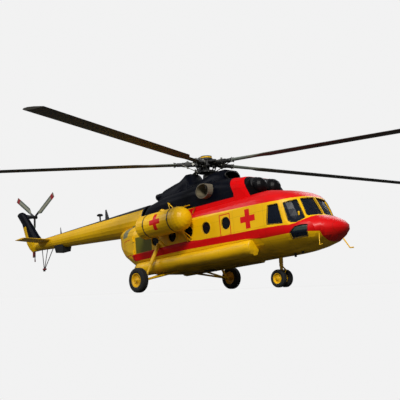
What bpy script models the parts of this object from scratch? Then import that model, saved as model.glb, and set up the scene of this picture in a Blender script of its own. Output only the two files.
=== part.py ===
"""A twin-engined rescue helicopter with five main blades, parked on its wheels.

World frame: metres, +X to the nose, +Y to port, +Z up. The origin is the middle of the cargo sling
plate's lower face, under the main rotor. The fuselage stands nose-up by PITCH, so its pieces are
written level, in their own frame, and hang on the empty called attitude, which gives the tilt.
The rotor, the wheels and the legs are written in the world frame.
"""

from math import cos, pi, radians, sin

import bmesh
import bpy
from mathutils import Matrix, Vector

# Driving dimensions of the airframe, in metres and in the level fuselage frame
PITCH = radians(4.5)
WALL = 0.03
SEAM = 0.0003
SEAT = 0.0006
PANEL_GAP = 0.006
HALF_WIDTH = 1.25
KEEL_Z = 0.05
ROOF_Z = 2.11
BULKHEAD_X = 3.45
CABIN_REAR_X = -2.6
WAIST_Z = 1.80
REAR_ROOM_X = -5.6

# The rotors, in the world frame
HUB_Z = 3.755
HUB_CAP_Z = 4.03
MAST_FOOT_Z = 2.75
MAST_HEAD_Z = 3.36
MAST_RADII = (0.20, 0.13)
ARM_SPAN = (0.15, 0.80)
ARM_RADIUS = 0.085
GRIP_START = 0.70
GRIP_RADIUS = 0.07
# A pitch link's ends, from the hub's middle along an arm
PITCH_LINK = ((0.27, 0.10, -0.29), (0.40, 0.10, 0.0))
PITCH_LINK_RADIUS = 0.022
ROTOR_RADIUS = 10.65
BLADE_CHORD = 0.52
BLADE_ROOT_R = 1.05
FIRST_BLADE_AZIMUTH = -64.33
TAIL_HUB = Vector((-12.65, 0.58, 3.17))
TAIL_RADIUS = 1.95
TAIL_BOSS = 0.165
TAIL_CHORD = 0.27
TAIL_ARM_RADII = (0.13, 0.085)
TAIL_HUB_RADIUS = 0.075
TAIL_HUB_CAP = 0.12
TAIL_GRIP = (0.5, 0.05)

# The landing gear, in the world frame
MAIN_AXLE = Vector((-1.17, 2.235, -0.215))
MAIN_TYRE_RADIUS = 0.415
MAIN_TYRE_WIDTH = 0.25
MAIN_RIM_RADIUS = 0.235
KNUCKLE_Y = 1.97
STRUT_RADII = (0.045, 0.065)
MAIN_AXLE_RADIUS = 0.055
BRACE_RADIUS = 0.035
# Where the main strut and its two braces meet the cabin, in the fuselage frame
STRUT_TOP = (-1.15, 1.262, 1.10)
BRACE_ENDS = {"front_brace": (-0.98, 0.62, 0.13), "back_brace": (-1.66, 0.62, 0.15)}
WHEEL_STEPS = 28
NOSE_AXLE = Vector((3.15, 0.155, -0.35))
NOSE_TYRE_RADIUS = 0.28
NOSE_TYRE_WIDTH = 0.175
NOSE_RIM_RADIUS = 0.16
NOSE_SLEEVE_Z = (0.12, 0.40)
NOSE_SLEEVE_RADIUS = 0.064
NOSE_STEM_RADIUS = 0.05
NOSE_COLLAR_RADIUS = 0.062
NOSE_BARREL = (0.088, 0.055)
NOSE_KNEE = Vector((0.185, 0.0, 0.245))
NOSE_LINK_RADIUS = 0.024
AXLE_TUBE = (0.13, 0.03)
AXLE_BORE_RADIUS = 0.0313

# Body sections from the tail to the bulkhead: x, half width, keel z, roof z
CABIN_SECTIONS = [
    (-2.60, 1.20, 0.20, 2.10),
    (-1.60, 1.24, 0.08, 2.11),
    (0.20, HALF_WIDTH, KEEL_Z, ROOF_Z),
    (BULKHEAD_X, HALF_WIDTH, KEEL_Z, ROOF_Z),
]
REAR_SECTIONS = [
    (-4.47, 0.14, 1.55, 1.86),
    (-4.37, 0.36, 1.33, 2.00),
    (-4.15, 0.58, 1.10, 2.07),
    (-3.78, 0.80, 0.80, 2.11),
    (-3.22, 1.02, 0.48, 2.12),
    (-2.60, 1.20, 0.20, 2.10),
]
# Corner sizes of a body section as shares of the half width and of the height
LOW_CORNER = (0.86, 0.40)
HIGH_CORNER = (0.72, 0.24)

# Plan outlines of the nose from the keel up: z, furthest x, exponent of its rounding
NOSE_LEVELS = [
    (0.052, 4.35, 2.0),
    (0.10, 4.65, 2.0),
    (0.16, 5.00, 2.0),
    (0.26, 5.36, 2.0),
    (0.40, 5.56, 2.0),
    (0.56, 5.68, 2.0),
    (0.70, 5.67, 2.0),
    (0.84, 5.53, 2.0),
    (0.96, 5.32, 2.0),
    (1.08, 5.00, 2.4),
    (1.30, 4.90, 2.5),
    (1.52, 4.79, 2.5),
    (1.66, 4.71, 2.5),
    (1.78, 4.60, 2.4),
    (1.88, 4.42, 2.3),
    (1.97, 4.15, 2.2),
    (2.05, 3.80, 2.1),
    (2.105, 3.55, 2.0),
]

# Window panes of the cockpit, one side: corners as (x, y, z), and the way out as (x, y)
PANES = {
    "rear": ([(3.88, 1.22, 1.49), (4.18, 1.14, 1.50), (4.29, 1.13, 0.91), (3.79, 1.23, 0.95)], (0.15, 1.0)),
    "slide": (
        [
            (4.34, 1.05, 1.50),
            (4.61, 0.74, 1.57),
            (4.88, 0.79, 0.99),
            (4.68, 0.97, 0.88),
            (4.55, 1.04, 0.90),
            (4.46, 1.05, 0.96),
        ],
        (0.65, 0.76),
    ),
    "front": ([(4.66, 0.61, 1.59), (4.71, 0.05, 1.64), (5.00, 0.05, 1.11), (4.94, 0.67, 1.05)], (1.0, 0.2)),
    "chin": (
        [
            (4.46, 0.95, 0.43),
            (4.47, 1.06, 0.60),
            (4.64, 1.02, 0.74),
            (4.82, 0.95, 0.77),
            (4.98, 0.86, 0.76),
            (4.90, 0.79, 0.44),
        ],
        (0.35, 0.94),
    ),
}
WINDOW_XS = (2.13, 1.24, 0.40, -0.43, -1.34)
WINDOW_Z = 1.27
WINDOW_RADIUS = 0.19

# The sliding door on the port side: x and z limits
DOOR_X = (2.40, 3.23)
DOOR_Z = (0.68, 1.90)
DOOR_TRAVEL = 0.86
DOOR_CLEARANCE = 0.008
DOOR_THICKNESS = 0.028
DOOR_WINDOW_X = 2.815
DOOR_GLASS_Y = (1.262, 1.272)
DOOR_OVERLAP = 0.03
RAIL_DEPTH = 0.035
RAIL_Y = (1.05, 1.29)
OUTSIDE_Y = 1.6

# Cockpit: the radome's seam, the room that the glazing fills, and what stands inside
RADOME_SEAM_X = 5.15
RADOME_SEAM_Z = 0.945
RADOME_LEAN = 0.17
RADOME_ROOM = (-0.2, 1.3, 6.4)
GLASS_THICKNESS = 0.012
GLAZING_Z = (0.40, 1.78)
GLAZING_REAR_X = 3.60
GLAZING_FRONT = (5.06, 1.04)
COCKPIT_FLOOR_Z = 0.34
FLOOR_THICKNESS = 0.04
FLOOR_HALF_WIDTH = 1.20
COCKPIT_FLOOR_X = 4.80
# Console ends: x, half width at the floor, half width at the top, top z
CONSOLE_ENDS = [
    (4.42, 0.78, 0.74, 0.86),
    (4.74, 0.66, 0.62, 0.92),
]
# Seat pan and seat back: rear x, front x, low z, top z
SEAT_PAN = (3.78, 4.26, COCKPIT_FLOOR_Z + SEAM, 0.74)
SEAT_BACK = (3.68, 3.82, 0.62, 1.42)
SEAT_Y = 0.50
SEAT_HALF_WIDTH = 0.23
BULKHEAD_XS = (3.35, 3.39)
BULKHEAD_DOORWAY = (0.36, 0.33, 1.85)
CABIN_FLOOR_Z = 0.27
CABIN_FLOOR_X = 3.30
# Cabin glazing: rear x, low and top z, inner y, and its front x on each side
CABIN_GLAZING = (-1.62, 1.02, 1.52, 0.60)
CABIN_GLAZING_FRONT = {"port": 1.50, "stbd": 2.40}

# Cowling sections: x, half width, roof z
COWL_SECTIONS = [
    (-2.74, 0.55, 2.62),
    (-2.20, 0.82, 2.76),
    (-1.20, 1.00, 2.86),
    (0.20, 1.06, 2.90),
    (1.60, 1.04, 2.88),
    (2.38, 1.00, 2.76),
]
INTAKE_COWL_SECTIONS = [
    (2.384, 1.00, 2.76),
    (2.60, 0.98, 2.74),
    (2.97, 0.90, 2.70),
]
# The intake cowl's front face leans back: its x is true at this height, and the share of its lean
INTAKE_LEAN = (2.10, 0.50)
# Raised fairing along the cowling's ridge: x, half width, top z
RIDGE_SECTIONS = [
    (-2.34, 0.28, 2.84),
    (-2.20, 0.34, 2.91),
    (-2.04, 0.40, 3.03),
    (-1.88, 0.43, 3.13),
    (-1.73, 0.46, 3.205),
    (-1.10, 0.50, 3.305),
    (-0.86, 0.50, 3.335),
    (-0.66, 0.46, 3.44),
    (-0.52, 0.44, 3.53),
    (-0.36, 0.44, 3.52),
    (-0.20, 0.48, 3.20),
    (0.45, 0.52, 3.18),
    (0.75, 0.50, 3.26),
    (1.05, 0.48, 3.295),
    (1.34, 0.455, 3.29),
    (1.46, 0.44, 3.25),
]

# The fan's mouth in the fairing's front face, and the round nozzle at its rear end
FAN_MOUTH_HALF_WIDTH = 0.35
FAN_MOUTH_HALF_HEIGHT = 0.14
FAN_MOUTH_Z = 3.06
FAN_MOUTH_X = (1.10, 1.60)
NOZZLE_END = (-2.09, -0.30, 3.00)
NOZZLE_RADIUS = 0.12
NOZZLE_BORE = 0.095
NOZZLE_LENGTH = 0.45
NOZZLE_DEPTH = 0.20
COWL_SKIN = 0.02
COWL_LOW_Z = 1.70
RIDGE_LOW_Z = 2.40
MAST_HOLE_RADIUS = 0.30

# Exhaust stubs: middle x and z, half length, half height, inner and outer y, sweep, wall
EXHAUST_X = 1.25
EXHAUST_Z = 2.50
EXHAUST_HALF = (0.30, 0.245)
EXHAUST_Y = (0.80, 1.24)
EXHAUST_SWEEP = 0.12
EXHAUST_WALL = 0.02
EXHAUST_BOTTOM_Y = 0.06

# Intake filter domes: place of the base, and the radii at heights over it
DOME_PLACE = (2.54, 0.33, 2.385)
DOME_PROFILE = [
    (0.0, 0.60),
    (0.09, 0.59),
    (0.175, 0.55),
    (0.24, 0.47),
    (0.272, 0.38),
    (0.272, 0.30),
    (0.235, 0.24),
    (0.235, 0.0),
    (0.0, 0.0),
]
# Engine and gearbox blocks: rear x, front x, low z, top z, half width; the engines' middle y
ENGINE_BLOCK = (0.72, 2.52, 1.95, 2.46, 0.24)
ENGINE_Y = 0.42
GEARBOX_BLOCK = (-0.58, 0.44, 2.0, 0.42)

# Clamshell door hinges: their upright axis beside the cabin's rear edge
HINGE_X = -2.603
HINGE_Y = 1.228
HINGE_ZS = (1.00, 1.50)
HINGE_LENGTH = 0.10
HINGE_RADIUS = 0.018

# Low tanks along the sills: x and swell at the rear; distance from the front end and swell;
# and the outline's points y and z, with the outer ones from the tank's widest y
LOW_TANK_FRONT = {"port": 1.45, "stbd": 3.12}
LOW_TANK_REAR = [(-2.50, 0.45), (-2.36, 0.8), (-2.1, 1.0)]
LOW_TANK_NOSE = [(0.27, 1.0), (0.08, 0.8), (0.0, 0.45)]
LOW_TANK_DEPTH = 0.15
LOW_TANK_INNER = [(0.95, 0.28), (1.02, 0.14), (1.18, 0.11)]
LOW_TANK_OUTER = [(-0.06, 0.18), (0.0, 0.32), (0.0, 0.46), (-0.10, 0.58)]
LOW_TANK_TOP = [(1.10, 0.62), (0.95, 0.60)]

# High tanks: a drum on each flank, with stays over and under it
HIGH_TANK_RADIUS = 0.405
HIGH_TANK_X = (-1.20, 0.57)
HIGH_TANK_YZ = (1.75, 1.67)
HIGH_TANK_REAR_CAP = 0.55
UPPER_STAY_XS = (-0.54, 0.25)
UPPER_STAY_FOOT = (1.04, 2.20)
UPPER_STAY_RADIUS = 0.02
LOWER_STAY_XS = (-0.80, 0.45)
LOWER_STAY_FOOT = (1.26, 0.98)
LOWER_STAY_RADIUS = 0.025

# Sling plate: half side and height over the origin
SLING_PLATE = (0.15, 0.12)
# Tail skid: the tip, then the upper ends of its three legs, and the shoe's half height and radius
SKID_TIP = Vector((-10.76, 0.0, 1.37))
SKID_TOPS = [(-9.88, 0.0, 2.30), (-10.62, 0.14, 2.32), (-10.62, -0.14, 2.32)]
SKID_LEG_RADIUS = 0.018
SKID_SHOE = (0.045, 0.05)
# Radar box under the boom: rear x, front x, half width, z at its foot and at its head
RADAR_FOOT = (-9.40, -8.82, 0.20, 1.98)
RADAR_HEAD = (-9.46, -8.76, 0.24, 2.30)
# Blade antennas on the boom: name, x, foot z, top z, half chord
ANTENNAS = [
    ("antenna_blade", -5.7, 2.78, 3.25, 0.16),
    ("antenna_rear", -9.2, 2.74, 3.10, 0.06),
]

# Tail boom: x, centre z, radius
BOOM_FRONT = (-2.80, 2.315, 0.565)
BOOM_REAR = (-11.15, 2.565, 0.235)
BOOM_WALL = 0.02

# Fin from its base up: z, leading edge x, trailing edge x, half thickness
FIN_LEVELS = [
    (2.34, -10.95, -11.72, 0.10),
    (2.52, -10.70, -11.95, 0.17),
    (2.80, -10.85, -12.18, 0.17),
    (3.10, -11.17, -12.27, 0.15),
    (3.80, -11.79, -12.54, 0.12),
    (4.14, -12.09, -12.84, 0.11),
    (4.30, -12.26, -12.98, 0.10),
    (4.38, -12.44, -12.86, 0.06),
]
# Stabiliser half: y, leading edge x, trailing edge x, z, half thickness
STABILISER_STATIONS = [
    (0.0, -9.62, -10.72, 2.62, 0.060),
    (0.30, -9.68, -10.74, 2.63, 0.058),
    (1.35, -10.06, -10.90, 2.74, 0.030),
]

# Main blade: radius, chord, half thickness; the share of the chord ahead of the blade's axis;
# and each blade's rest angle over the hub plane, degrees
BLADE_STATIONS = [
    (BLADE_ROOT_R, 0.20, 0.055),
    (2.00, 0.24, 0.050),
    (2.45, BLADE_CHORD, 0.042),
    (ROTOR_RADIUS, BLADE_CHORD, 0.034),
]
BLADE_LEAD_SHARE = 0.36
BLADE_FLAP = (-2.6, -0.3, -0.7, -4.5, 0.5)
# Tail rotor blade: radius, chord, half thickness
TAIL_BLADE_STATIONS = [
    (0.45, 0.14, 0.03),
    (0.62, TAIL_CHORD, 0.022),
    (TAIL_RADIUS, TAIL_CHORD, 0.012),
]

GOLD = (0.80, 0.50, 0.01)
RED = (0.62, 0.01, 0.02)
NAVY = (0.010, 0.016, 0.040)
BLACK = (0.015, 0.015, 0.015)
OLIVE = (0.03, 0.03, 0.02)
STEEL = (0.30, 0.30, 0.30)
GLASS = (0.03, 0.05, 0.09)
GREY_GREEN = (0.16, 0.20, 0.17)


def clear_scene():
    for item in list(bpy.data.objects):
        bpy.data.objects.remove(item, do_unlink=True)


clear_scene()
HELICOPTER = bpy.data.collections.new("helicopter")
CUTTERS = bpy.data.collections.new("cutters")
bpy.context.scene.collection.children.link(HELICOPTER)
bpy.context.scene.collection.children.link(CUTTERS)
MATERIALS = {}


def painted(name, colour, roughness, metallic=0.0):
    material = bpy.data.materials.new(name)
    material.use_nodes = True
    shader = material.node_tree.nodes["Principled BSDF"]
    shader.inputs["Base Color"].default_value = (*colour, 1.0)
    shader.inputs["Roughness"].default_value = roughness
    shader.inputs["Metallic"].default_value = metallic
    MATERIALS[name] = material


for title, colour, roughness, metallic in (
    ("gold_paint", GOLD, 0.3, 0.0),
    ("red_paint", RED, 0.25, 0.0),
    ("navy_paint", NAVY, 0.3, 0.0),
    ("black_gloss", BLACK, 0.15, 0.0),
    ("blade_olive", OLIVE, 0.5, 0.0),
    ("tail_blade_grey", GREY_GREEN, 0.5, 0.0),
    ("bare_steel", STEEL, 0.35, 0.9),
    ("tyre_rubber", BLACK, 0.85, 0.0),
    ("tinted_glass", GLASS, 0.08, 0.0),
    ("trim_dark", BLACK, 0.7, 0.0),
    ("engine_metal", STEEL, 0.5, 0.8),
):
    painted(title, colour, roughness, metallic)


def empty(name, location=(0.0, 0.0, 0.0), rotation=(0.0, 0.0, 0.0), parent=None):
    item = bpy.data.objects.new(name, None)
    item.location = location
    item.rotation_euler = rotation
    item.parent = parent
    HELICOPTER.objects.link(item)
    return item


ATTITUDE = empty("attitude", rotation=(0.0, -PITCH, 0.0))
LEVEL = Matrix.Rotation(-PITCH, 4, "Y")


def in_world(point):
    """World place of a point of the level fuselage frame."""
    return LEVEL @ Vector(point)


def in_fuselage(point):
    """Place in the level fuselage frame of a world point."""
    return LEVEL.inverted() @ Vector(point)


def keep(item, material, parent=None, smooth_angle=40.0):
    """Files an object as a node, with its material, its parent and its shading."""
    HELICOPTER.objects.link(item)
    item.data.materials.append(MATERIALS[material])
    if parent is not None:
        item.parent = parent
        if parent is not ATTITUDE:
            item.matrix_parent_inverse = Matrix.Translation(-parent.location)
    if item.type == "MESH":
        item.data.shade_smooth()
        item.data.set_sharp_from_angle(angle=radians(smooth_angle))
    return item


def helper(item, parent=None):
    """Files an object as a cutter, which the build leaves out."""
    CUTTERS.objects.link(item)
    item.parent = parent
    item.hide_render = True
    item.display_type = "WIRE"
    return item


def boolean(item, other, operation="DIFFERENCE", solver="EXACT"):
    modifier = item.modifiers.new(operation.lower(), "BOOLEAN")
    modifier.solver = solver
    modifier.object = other
    modifier.operation = operation
    return item


def mesh_object(name, bm):
    bmesh.ops.recalc_face_normals(bm, faces=bm.faces[:])
    mesh = bpy.data.meshes.new(name)
    bm.to_mesh(mesh)
    bm.free()
    return bpy.data.objects.new(name, mesh)


def loft(name, rings):
    """A closed body through rings of equally many points, with a flat cap on each end.

    Each side is two triangles, always split the same way, so that a body and its inset copy keep
    an even wall between them.
    """
    bm = bmesh.new()
    rows = [[bm.verts.new(point) for point in ring] for ring in rings]
    count = len(rows[0])
    for low, high in zip(rows, rows[1:]):
        for k in range(count):
            near = (k + 1) % count
            bm.faces.new((low[k], low[near], high[near]))
            bm.faces.new((low[k], high[near], high[k]))
    bm.faces.new(rows[0])
    bm.faces.new(rows[-1])
    return mesh_object(name, bm)


def box(name, low, high):
    bm = bmesh.new()
    bmesh.ops.create_cube(bm, size=1.0)
    size = [b - a for a, b in zip(low, high)]
    middle = [(a + b) / 2 for a, b in zip(low, high)]
    fitted = Matrix.Translation(middle) @ Matrix.Diagonal((*size, 1.0))
    bmesh.ops.transform(bm, matrix=fitted, verts=bm.verts)
    return mesh_object(name, bm)


def rod(name, start, end, radius, sides=10, end_radius=None):
    """A straight round bar between two points, or a cone with end_radius."""
    start, end = Vector(start), Vector(end)
    along = end - start
    bm = bmesh.new()
    bmesh.ops.create_cone(
        bm, cap_ends=True, segments=sides, radius1=radius, radius2=end_radius or radius, depth=along.length
    )
    turn = along.to_track_quat("Z", "Y").to_matrix().to_4x4()
    bmesh.ops.transform(bm, matrix=Matrix.Translation((start + end) / 2) @ turn, verts=bm.verts)
    return mesh_object(name, bm)


def turned(name, profile, steps, axis, centre, closed=False):
    """A shape of revolution: profile points are (radius, height along the axis)."""
    bm = bmesh.new()
    verts = [bm.verts.new((radius, 0.0, height)) for radius, height in profile]
    for a, b in zip(verts, verts[1:]):
        bm.edges.new((a, b))
    if closed:
        bm.edges.new((verts[-1], verts[0]))
    mesh = bpy.data.meshes.new(name)
    bm.to_mesh(mesh)
    bm.free()
    item = bpy.data.objects.new(name, mesh)
    screw = item.modifiers.new("turn", "SCREW")
    screw.steps = steps
    screw.render_steps = steps
    screw.use_merge_vertices = True
    screw.merge_threshold = 0.0001
    item.rotation_euler = {"X": (0.0, pi / 2, 0.0), "Y": (-pi / 2, 0.0, 0.0), "Z": (0.0, 0.0, 0.0)}[axis]
    item.location = centre
    return item


def fused(name, pieces, parent=None):
    """One body out of several that overlap: the first one, with the others united to it."""
    first = pieces[0]
    first.name = name
    for other in pieces[1:]:
        helper(other, parent)
        boolean(first, other, "UNION")
    return first


def half_section(half_width, low, high, steps=5):
    """Half of a body section, keel to ridge, as (y, z): two elliptic corners and a straight side."""
    height = high - low
    low_y, low_z = LOW_CORNER[0] * half_width, LOW_CORNER[1] * height
    high_y, high_z = HIGH_CORNER[0] * half_width, HIGH_CORNER[1] * height
    turns = [pi / 2 * k / steps for k in range(steps + 1)]
    lower = [(half_width - low_y * (1 - sin(a)), low + low_z * (1 - cos(a))) for a in turns]
    upper = [(half_width - high_y * (1 - cos(a)), high - high_z * (1 - sin(a))) for a in turns]
    return lower + upper


def body_ring(x, half_width, low, high, inset=0.0):
    half = half_section(half_width - inset, low + inset, high - inset)
    return [(x, y, z) for y, z in half] + [(x, -y, z) for y, z in reversed(half)]


def body(name, sections, inset=0.0, reach=0.0):
    """A loft through body sections; reach lengthens it at both ends, for a cutter."""
    rings = [body_ring(x, w, low, high, inset) for x, w, low, high in sections]
    if reach:
        rings.insert(0, [(x - reach, y, z) for x, y, z in rings[0]])
        rings.append([(x + reach, y, z) for x, y, z in rings[-1]])
    return loft(name, rings)


def side_width(z):
    """Half width of the cabin's section at a height."""
    half = half_section(HALF_WIDTH, KEEL_Z, ROOF_Z, steps=12)
    for (y0, z0), (y1, z1) in zip(half, half[1:]):
        if z0 <= z <= z1 and z1 > z0:
            return y0 + (y1 - y0) * (z - z0) / (z1 - z0)
    return half[-1][0]


def nose_ring(z, front_x, exponent, inset=0.0, back_x=BULKHEAD_X + SEAT, steps=9):
    """Plan outline of the nose at one height: a rounded front on two sides that run to the back."""
    width = side_width(z) - inset
    length = front_x - inset - BULKHEAD_X
    ring = []
    for k in range(2 * steps + 1):
        angle = -pi / 2 + pi * k / (2 * steps)
        reach = abs(cos(angle)) ** (2 / exponent)
        side = abs(sin(angle)) ** (2 / exponent) * (1 if angle > 0 else -1)
        ring.append((max(back_x, BULKHEAD_X + length * reach), width * side, z))
    return ring


def nose_body(name, inset=0.0, low=None, high=None, back_x=BULKHEAD_X + SEAT):
    """A loft through the nose's levels; an inset one is moved in all round, top and bottom too."""
    rings = []
    for z, front_x, exponent in NOSE_LEVELS:
        if low is not None and not low <= z <= high:
            continue
        middle = (KEEL_Z + ROOF_Z) / 2
        shifted = middle + (z - middle) * (1 - inset / middle)
        ring = nose_ring(z, front_x, exponent, inset, back_x)
        rings.append([(x, y, shifted) for x, y, _ in ring])
    return loft(name, rings)


def pane_cutter(name, corners, way, depth=0.27):
    """A short prism through the skin: corners (x, y, z) moved in and out along way (x, y)."""
    out = Vector((way[0], way[1], 0.0)).normalized() * depth
    return loft(name, [[Vector(c) - out for c in corners], [Vector(c) + out for c in corners]])


SEATS = {}


def rest_on(item, *names):
    """Cuts an object back to just clear of the airframe's outer skins that it sits on."""
    makers = {
        "cabin": lambda: body("cabin_seat", CABIN_SECTIONS, inset=-SEAT, reach=SEAT),
        "rear": lambda: body("rear_seat", REAR_SECTIONS, inset=-SEAT),
        "nose": lambda: nose_body("nose_seat", inset=-SEAT),
        "boom": lambda: boom_cone("boom_seat", inset=-SEAT, reach=SEAT),
        "cowl": lambda: cowl("cowl_seat", COWL_SECTIONS, inset=-SEAT),
        "intake": lambda: intake_cowl("intake_seat", inset=-SEAT),
    }
    for name in names:
        if name not in SEATS:
            SEATS[name] = helper(makers[name](), ATTITUDE)
        boolean(item, SEATS[name])
    return item


def cut_cockpit_windows(shell):
    for side in (1, -1):
        for title, (corners, way) in PANES.items():
            places = [(x, side * y, z) for x, y, z in corners]
            cutter = pane_cutter(f"pane_{title}_{side}", places, (way[0], side * way[1]))
            boolean(shell, helper(cutter, ATTITUDE), solver="MANIFOLD")


def radome_room(name, back_x, top_z):
    """The space ahead of the radome's seam, which leans forward as it rises."""
    low_z, half, front_x = RADOME_ROOM
    corners = ((low_z, -half), (low_z, half), (top_z, half), (top_z, -half))
    back = [(back_x + RADOME_LEAN * (z - low_z), y, z) for z, y in corners]
    return loft(name, [back, [(front_x, y, z) for z, y in corners]])


def make_cockpit():
    shell = nose_body("cockpit_shell")
    boolean(shell, helper(nose_body("cockpit_hollow", inset=WALL, back_x=BULKHEAD_X - 0.3), ATTITUDE))
    boolean(shell, helper(radome_room("radome_seam", RADOME_SEAM_X, RADOME_SEAM_Z), ATTITUDE))
    cut_cockpit_windows(shell)
    keep(shell, "gold_paint", ATTITUDE)

    radome = nose_body("nose_cone", inset=SEAM)
    limit = radome_room("radome_limit", RADOME_SEAM_X + SEAT, RADOME_SEAM_Z - 0.004)
    boolean(radome, helper(limit, ATTITUDE), "INTERSECT")
    keep(radome, "red_paint", ATTITUDE)

    glass = nose_body("cockpit_glazing", inset=WALL + SEAT, low=GLAZING_Z[0], high=GLAZING_Z[1])
    hollow = nose_body("glazing_hollow", inset=WALL + GLASS_THICKNESS, back_x=BULKHEAD_X - 0.25)
    boolean(glass, helper(hollow, ATTITUDE))
    low_z, half, front_x = RADOME_ROOM
    back_x, over_z = BULKHEAD_X - 0.25, ROOF_Z + 0.1
    behind = box("glazing_rear_limit", (back_x, -half, low_z), (GLAZING_REAR_X, half, over_z))
    boolean(glass, helper(behind, ATTITUDE))
    seam_x, seam_z = GLAZING_FRONT
    ahead = box("glazing_low_front", (seam_x, -half, low_z), (front_x, half, seam_z))
    boolean(glass, helper(ahead, ATTITUDE))
    keep(glass, "tinted_glass", ATTITUDE)


def make_cockpit_inside():
    floor_z = COCKPIT_FLOOR_Z
    floor = box(
        "cockpit_floor",
        (BULKHEAD_X + 0.06, -FLOOR_HALF_WIDTH, floor_z - FLOOR_THICKNESS),
        (COCKPIT_FLOOR_X, FLOOR_HALF_WIDTH, floor_z),
    )
    foot_z = floor_z - FLOOR_THICKNESS / 2
    rings = [
        [(x, -foot, foot_z), (x, foot, foot_z), (x, head, top_z), (x, -head, top_z)]
        for x, foot, head, top_z in CONSOLE_ENDS
    ]
    floor = fused("cockpit_floor", [floor, loft("console", rings)], ATTITUDE)
    boolean(floor, helper(nose_body("floor_room", inset=WALL + SEAT), ATTITUDE), "INTERSECT")
    keep(floor, "trim_dark", ATTITUDE)
    for side, title in ((1, "port"), (-1, "stbd")):
        pieces = [
            box(
                "pilot_seat",
                (rear_x, side * SEAT_Y - SEAT_HALF_WIDTH, low_z),
                (front_x, side * SEAT_Y + SEAT_HALF_WIDTH, top_z),
            )
            for rear_x, front_x, low_z, top_z in (SEAT_PAN, SEAT_BACK)
        ]
        keep(fused(f"pilot_seat_{title}", pieces, ATTITUDE), "trim_dark", ATTITUDE)
    section = CABIN_SECTIONS[-1][1:]
    bulkhead = body("bulkhead", [(x, *section) for x in BULKHEAD_XS], inset=WALL + SEAT)
    half, sill_z, head_z = BULKHEAD_DOORWAY
    doorway = box("doorway", (BULKHEAD_X - 0.25, -half, sill_z), (BULKHEAD_X + 0.15, half, head_z))
    boolean(bulkhead, helper(doorway, ATTITUDE))
    keep(bulkhead, "trim_dark", ATTITUDE)


def door_outline(grow=0.0):
    return box(
        "door_outline",
        (DOOR_X[0] - grow, 0.85, DOOR_Z[0] - grow),
        (DOOR_X[1] + grow, OUTSIDE_Y, DOOR_Z[1] + grow),
    )


def make_cabin():
    shell = body("cabin_shell", CABIN_SECTIONS)
    boolean(shell, helper(body("cabin_hollow", CABIN_SECTIONS, inset=WALL, reach=0.3), ATTITUDE))
    for x in WINDOW_XS:
        port_end = OUTSIDE_Y if x < DOOR_X[0] - 0.5 else 0.0
        ends = ((x, -OUTSIDE_Y, WINDOW_Z), (x, port_end, WINDOW_Z))
        boolean(shell, helper(rod("window_bore", *ends, WINDOW_RADIUS, sides=20), ATTITUDE))
    boolean(shell, helper(door_outline(-DOOR_OVERLAP), ATTITUDE))
    for side in (1, -1):
        for z in HINGE_ZS:
            knuckle, leaf = hinge_half(side, z - SEAT / 2, 1)
            boolean(shell, helper(knuckle, ATTITUDE), "UNION")
            boolean(shell, helper(leaf, ATTITUDE), "UNION")
    rail_x = (DOOR_X[0] - DOOR_TRAVEL - 0.04, DOOR_X[1] + 0.04)
    rail_zs = ((DOOR_Z[1] + SEAT, DOOR_Z[1] + RAIL_DEPTH), (DOOR_Z[0] - RAIL_DEPTH, DOOR_Z[0] - SEAT))
    for low_z, high_z in rail_zs:
        rail = box("door_rail", (rail_x[0], RAIL_Y[0], low_z), (rail_x[1], RAIL_Y[1], high_z))
        boolean(rail, helper(body("rail_core", CABIN_SECTIONS, inset=0.01, reach=0.2), ATTITUDE))
        boolean(shell, helper(rail, ATTITUDE), "UNION")
    keep(shell, "gold_paint", ATTITUDE)

    floor = box(
        "cabin_floor",
        (CABIN_REAR_X + 0.02, -FLOOR_HALF_WIDTH, CABIN_FLOOR_Z),
        (CABIN_FLOOR_X, FLOOR_HALF_WIDTH, CABIN_FLOOR_Z + FLOOR_THICKNESS),
    )
    room = body("floor_room", CABIN_SECTIONS, inset=WALL + SEAT, reach=0.1)
    boolean(floor, helper(room, ATTITUDE), "INTERSECT")
    keep(floor, "trim_dark", ATTITUDE)

    for side, title in ((1, "port"), (-1, "stbd")):
        pane = body("cabin_glazing", CABIN_SECTIONS, inset=WALL + SEAT)
        core = body("glazing_core", CABIN_SECTIONS, inset=WALL + GLASS_THICKNESS, reach=0.3)
        boolean(pane, helper(core, ATTITUDE))
        rear_x, low_z, top_z, inner_y = CABIN_GLAZING
        low_y, high_y = sorted((side * inner_y, side * OUTSIDE_Y))
        limit = box("glazing_limit", (rear_x, low_y, low_z), (CABIN_GLAZING_FRONT[title], high_y, top_z))
        boolean(pane, helper(limit, ATTITUDE), "INTERSECT")
        pane.name = f"cabin_glazing_{title}"
        keep(pane, "tinted_glass", ATTITUDE)


def make_sliding_door():
    """The door lies just outside the skin and slides aft along it."""
    pivot = empty("sliding_door_track", (DOOR_X[0], HALF_WIDTH, DOOR_Z[0]), parent=ATTITUDE)
    door = body("sliding_door", CABIN_SECTIONS, inset=-(DOOR_CLEARANCE + DOOR_THICKNESS))
    boolean(door, helper(body("door_inside", CABIN_SECTIONS, inset=-DOOR_CLEARANCE, reach=0.3), ATTITUDE))
    boolean(door, helper(door_outline(), ATTITUDE), "INTERSECT")
    ends = [(DOOR_WINDOW_X, y, WINDOW_Z) for y in (1.0, OUTSIDE_Y)]
    boolean(door, helper(rod("door_window", *ends, WINDOW_RADIUS, sides=20), ATTITUDE))
    keep(door, "gold_paint", pivot)
    ends = [(DOOR_WINDOW_X, y, WINDOW_Z) for y in DOOR_GLASS_Y]
    glass = rod("door_glass", *ends, WINDOW_RADIUS - SEAM, sides=20)
    keep(glass, "tinted_glass", pivot)


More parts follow.
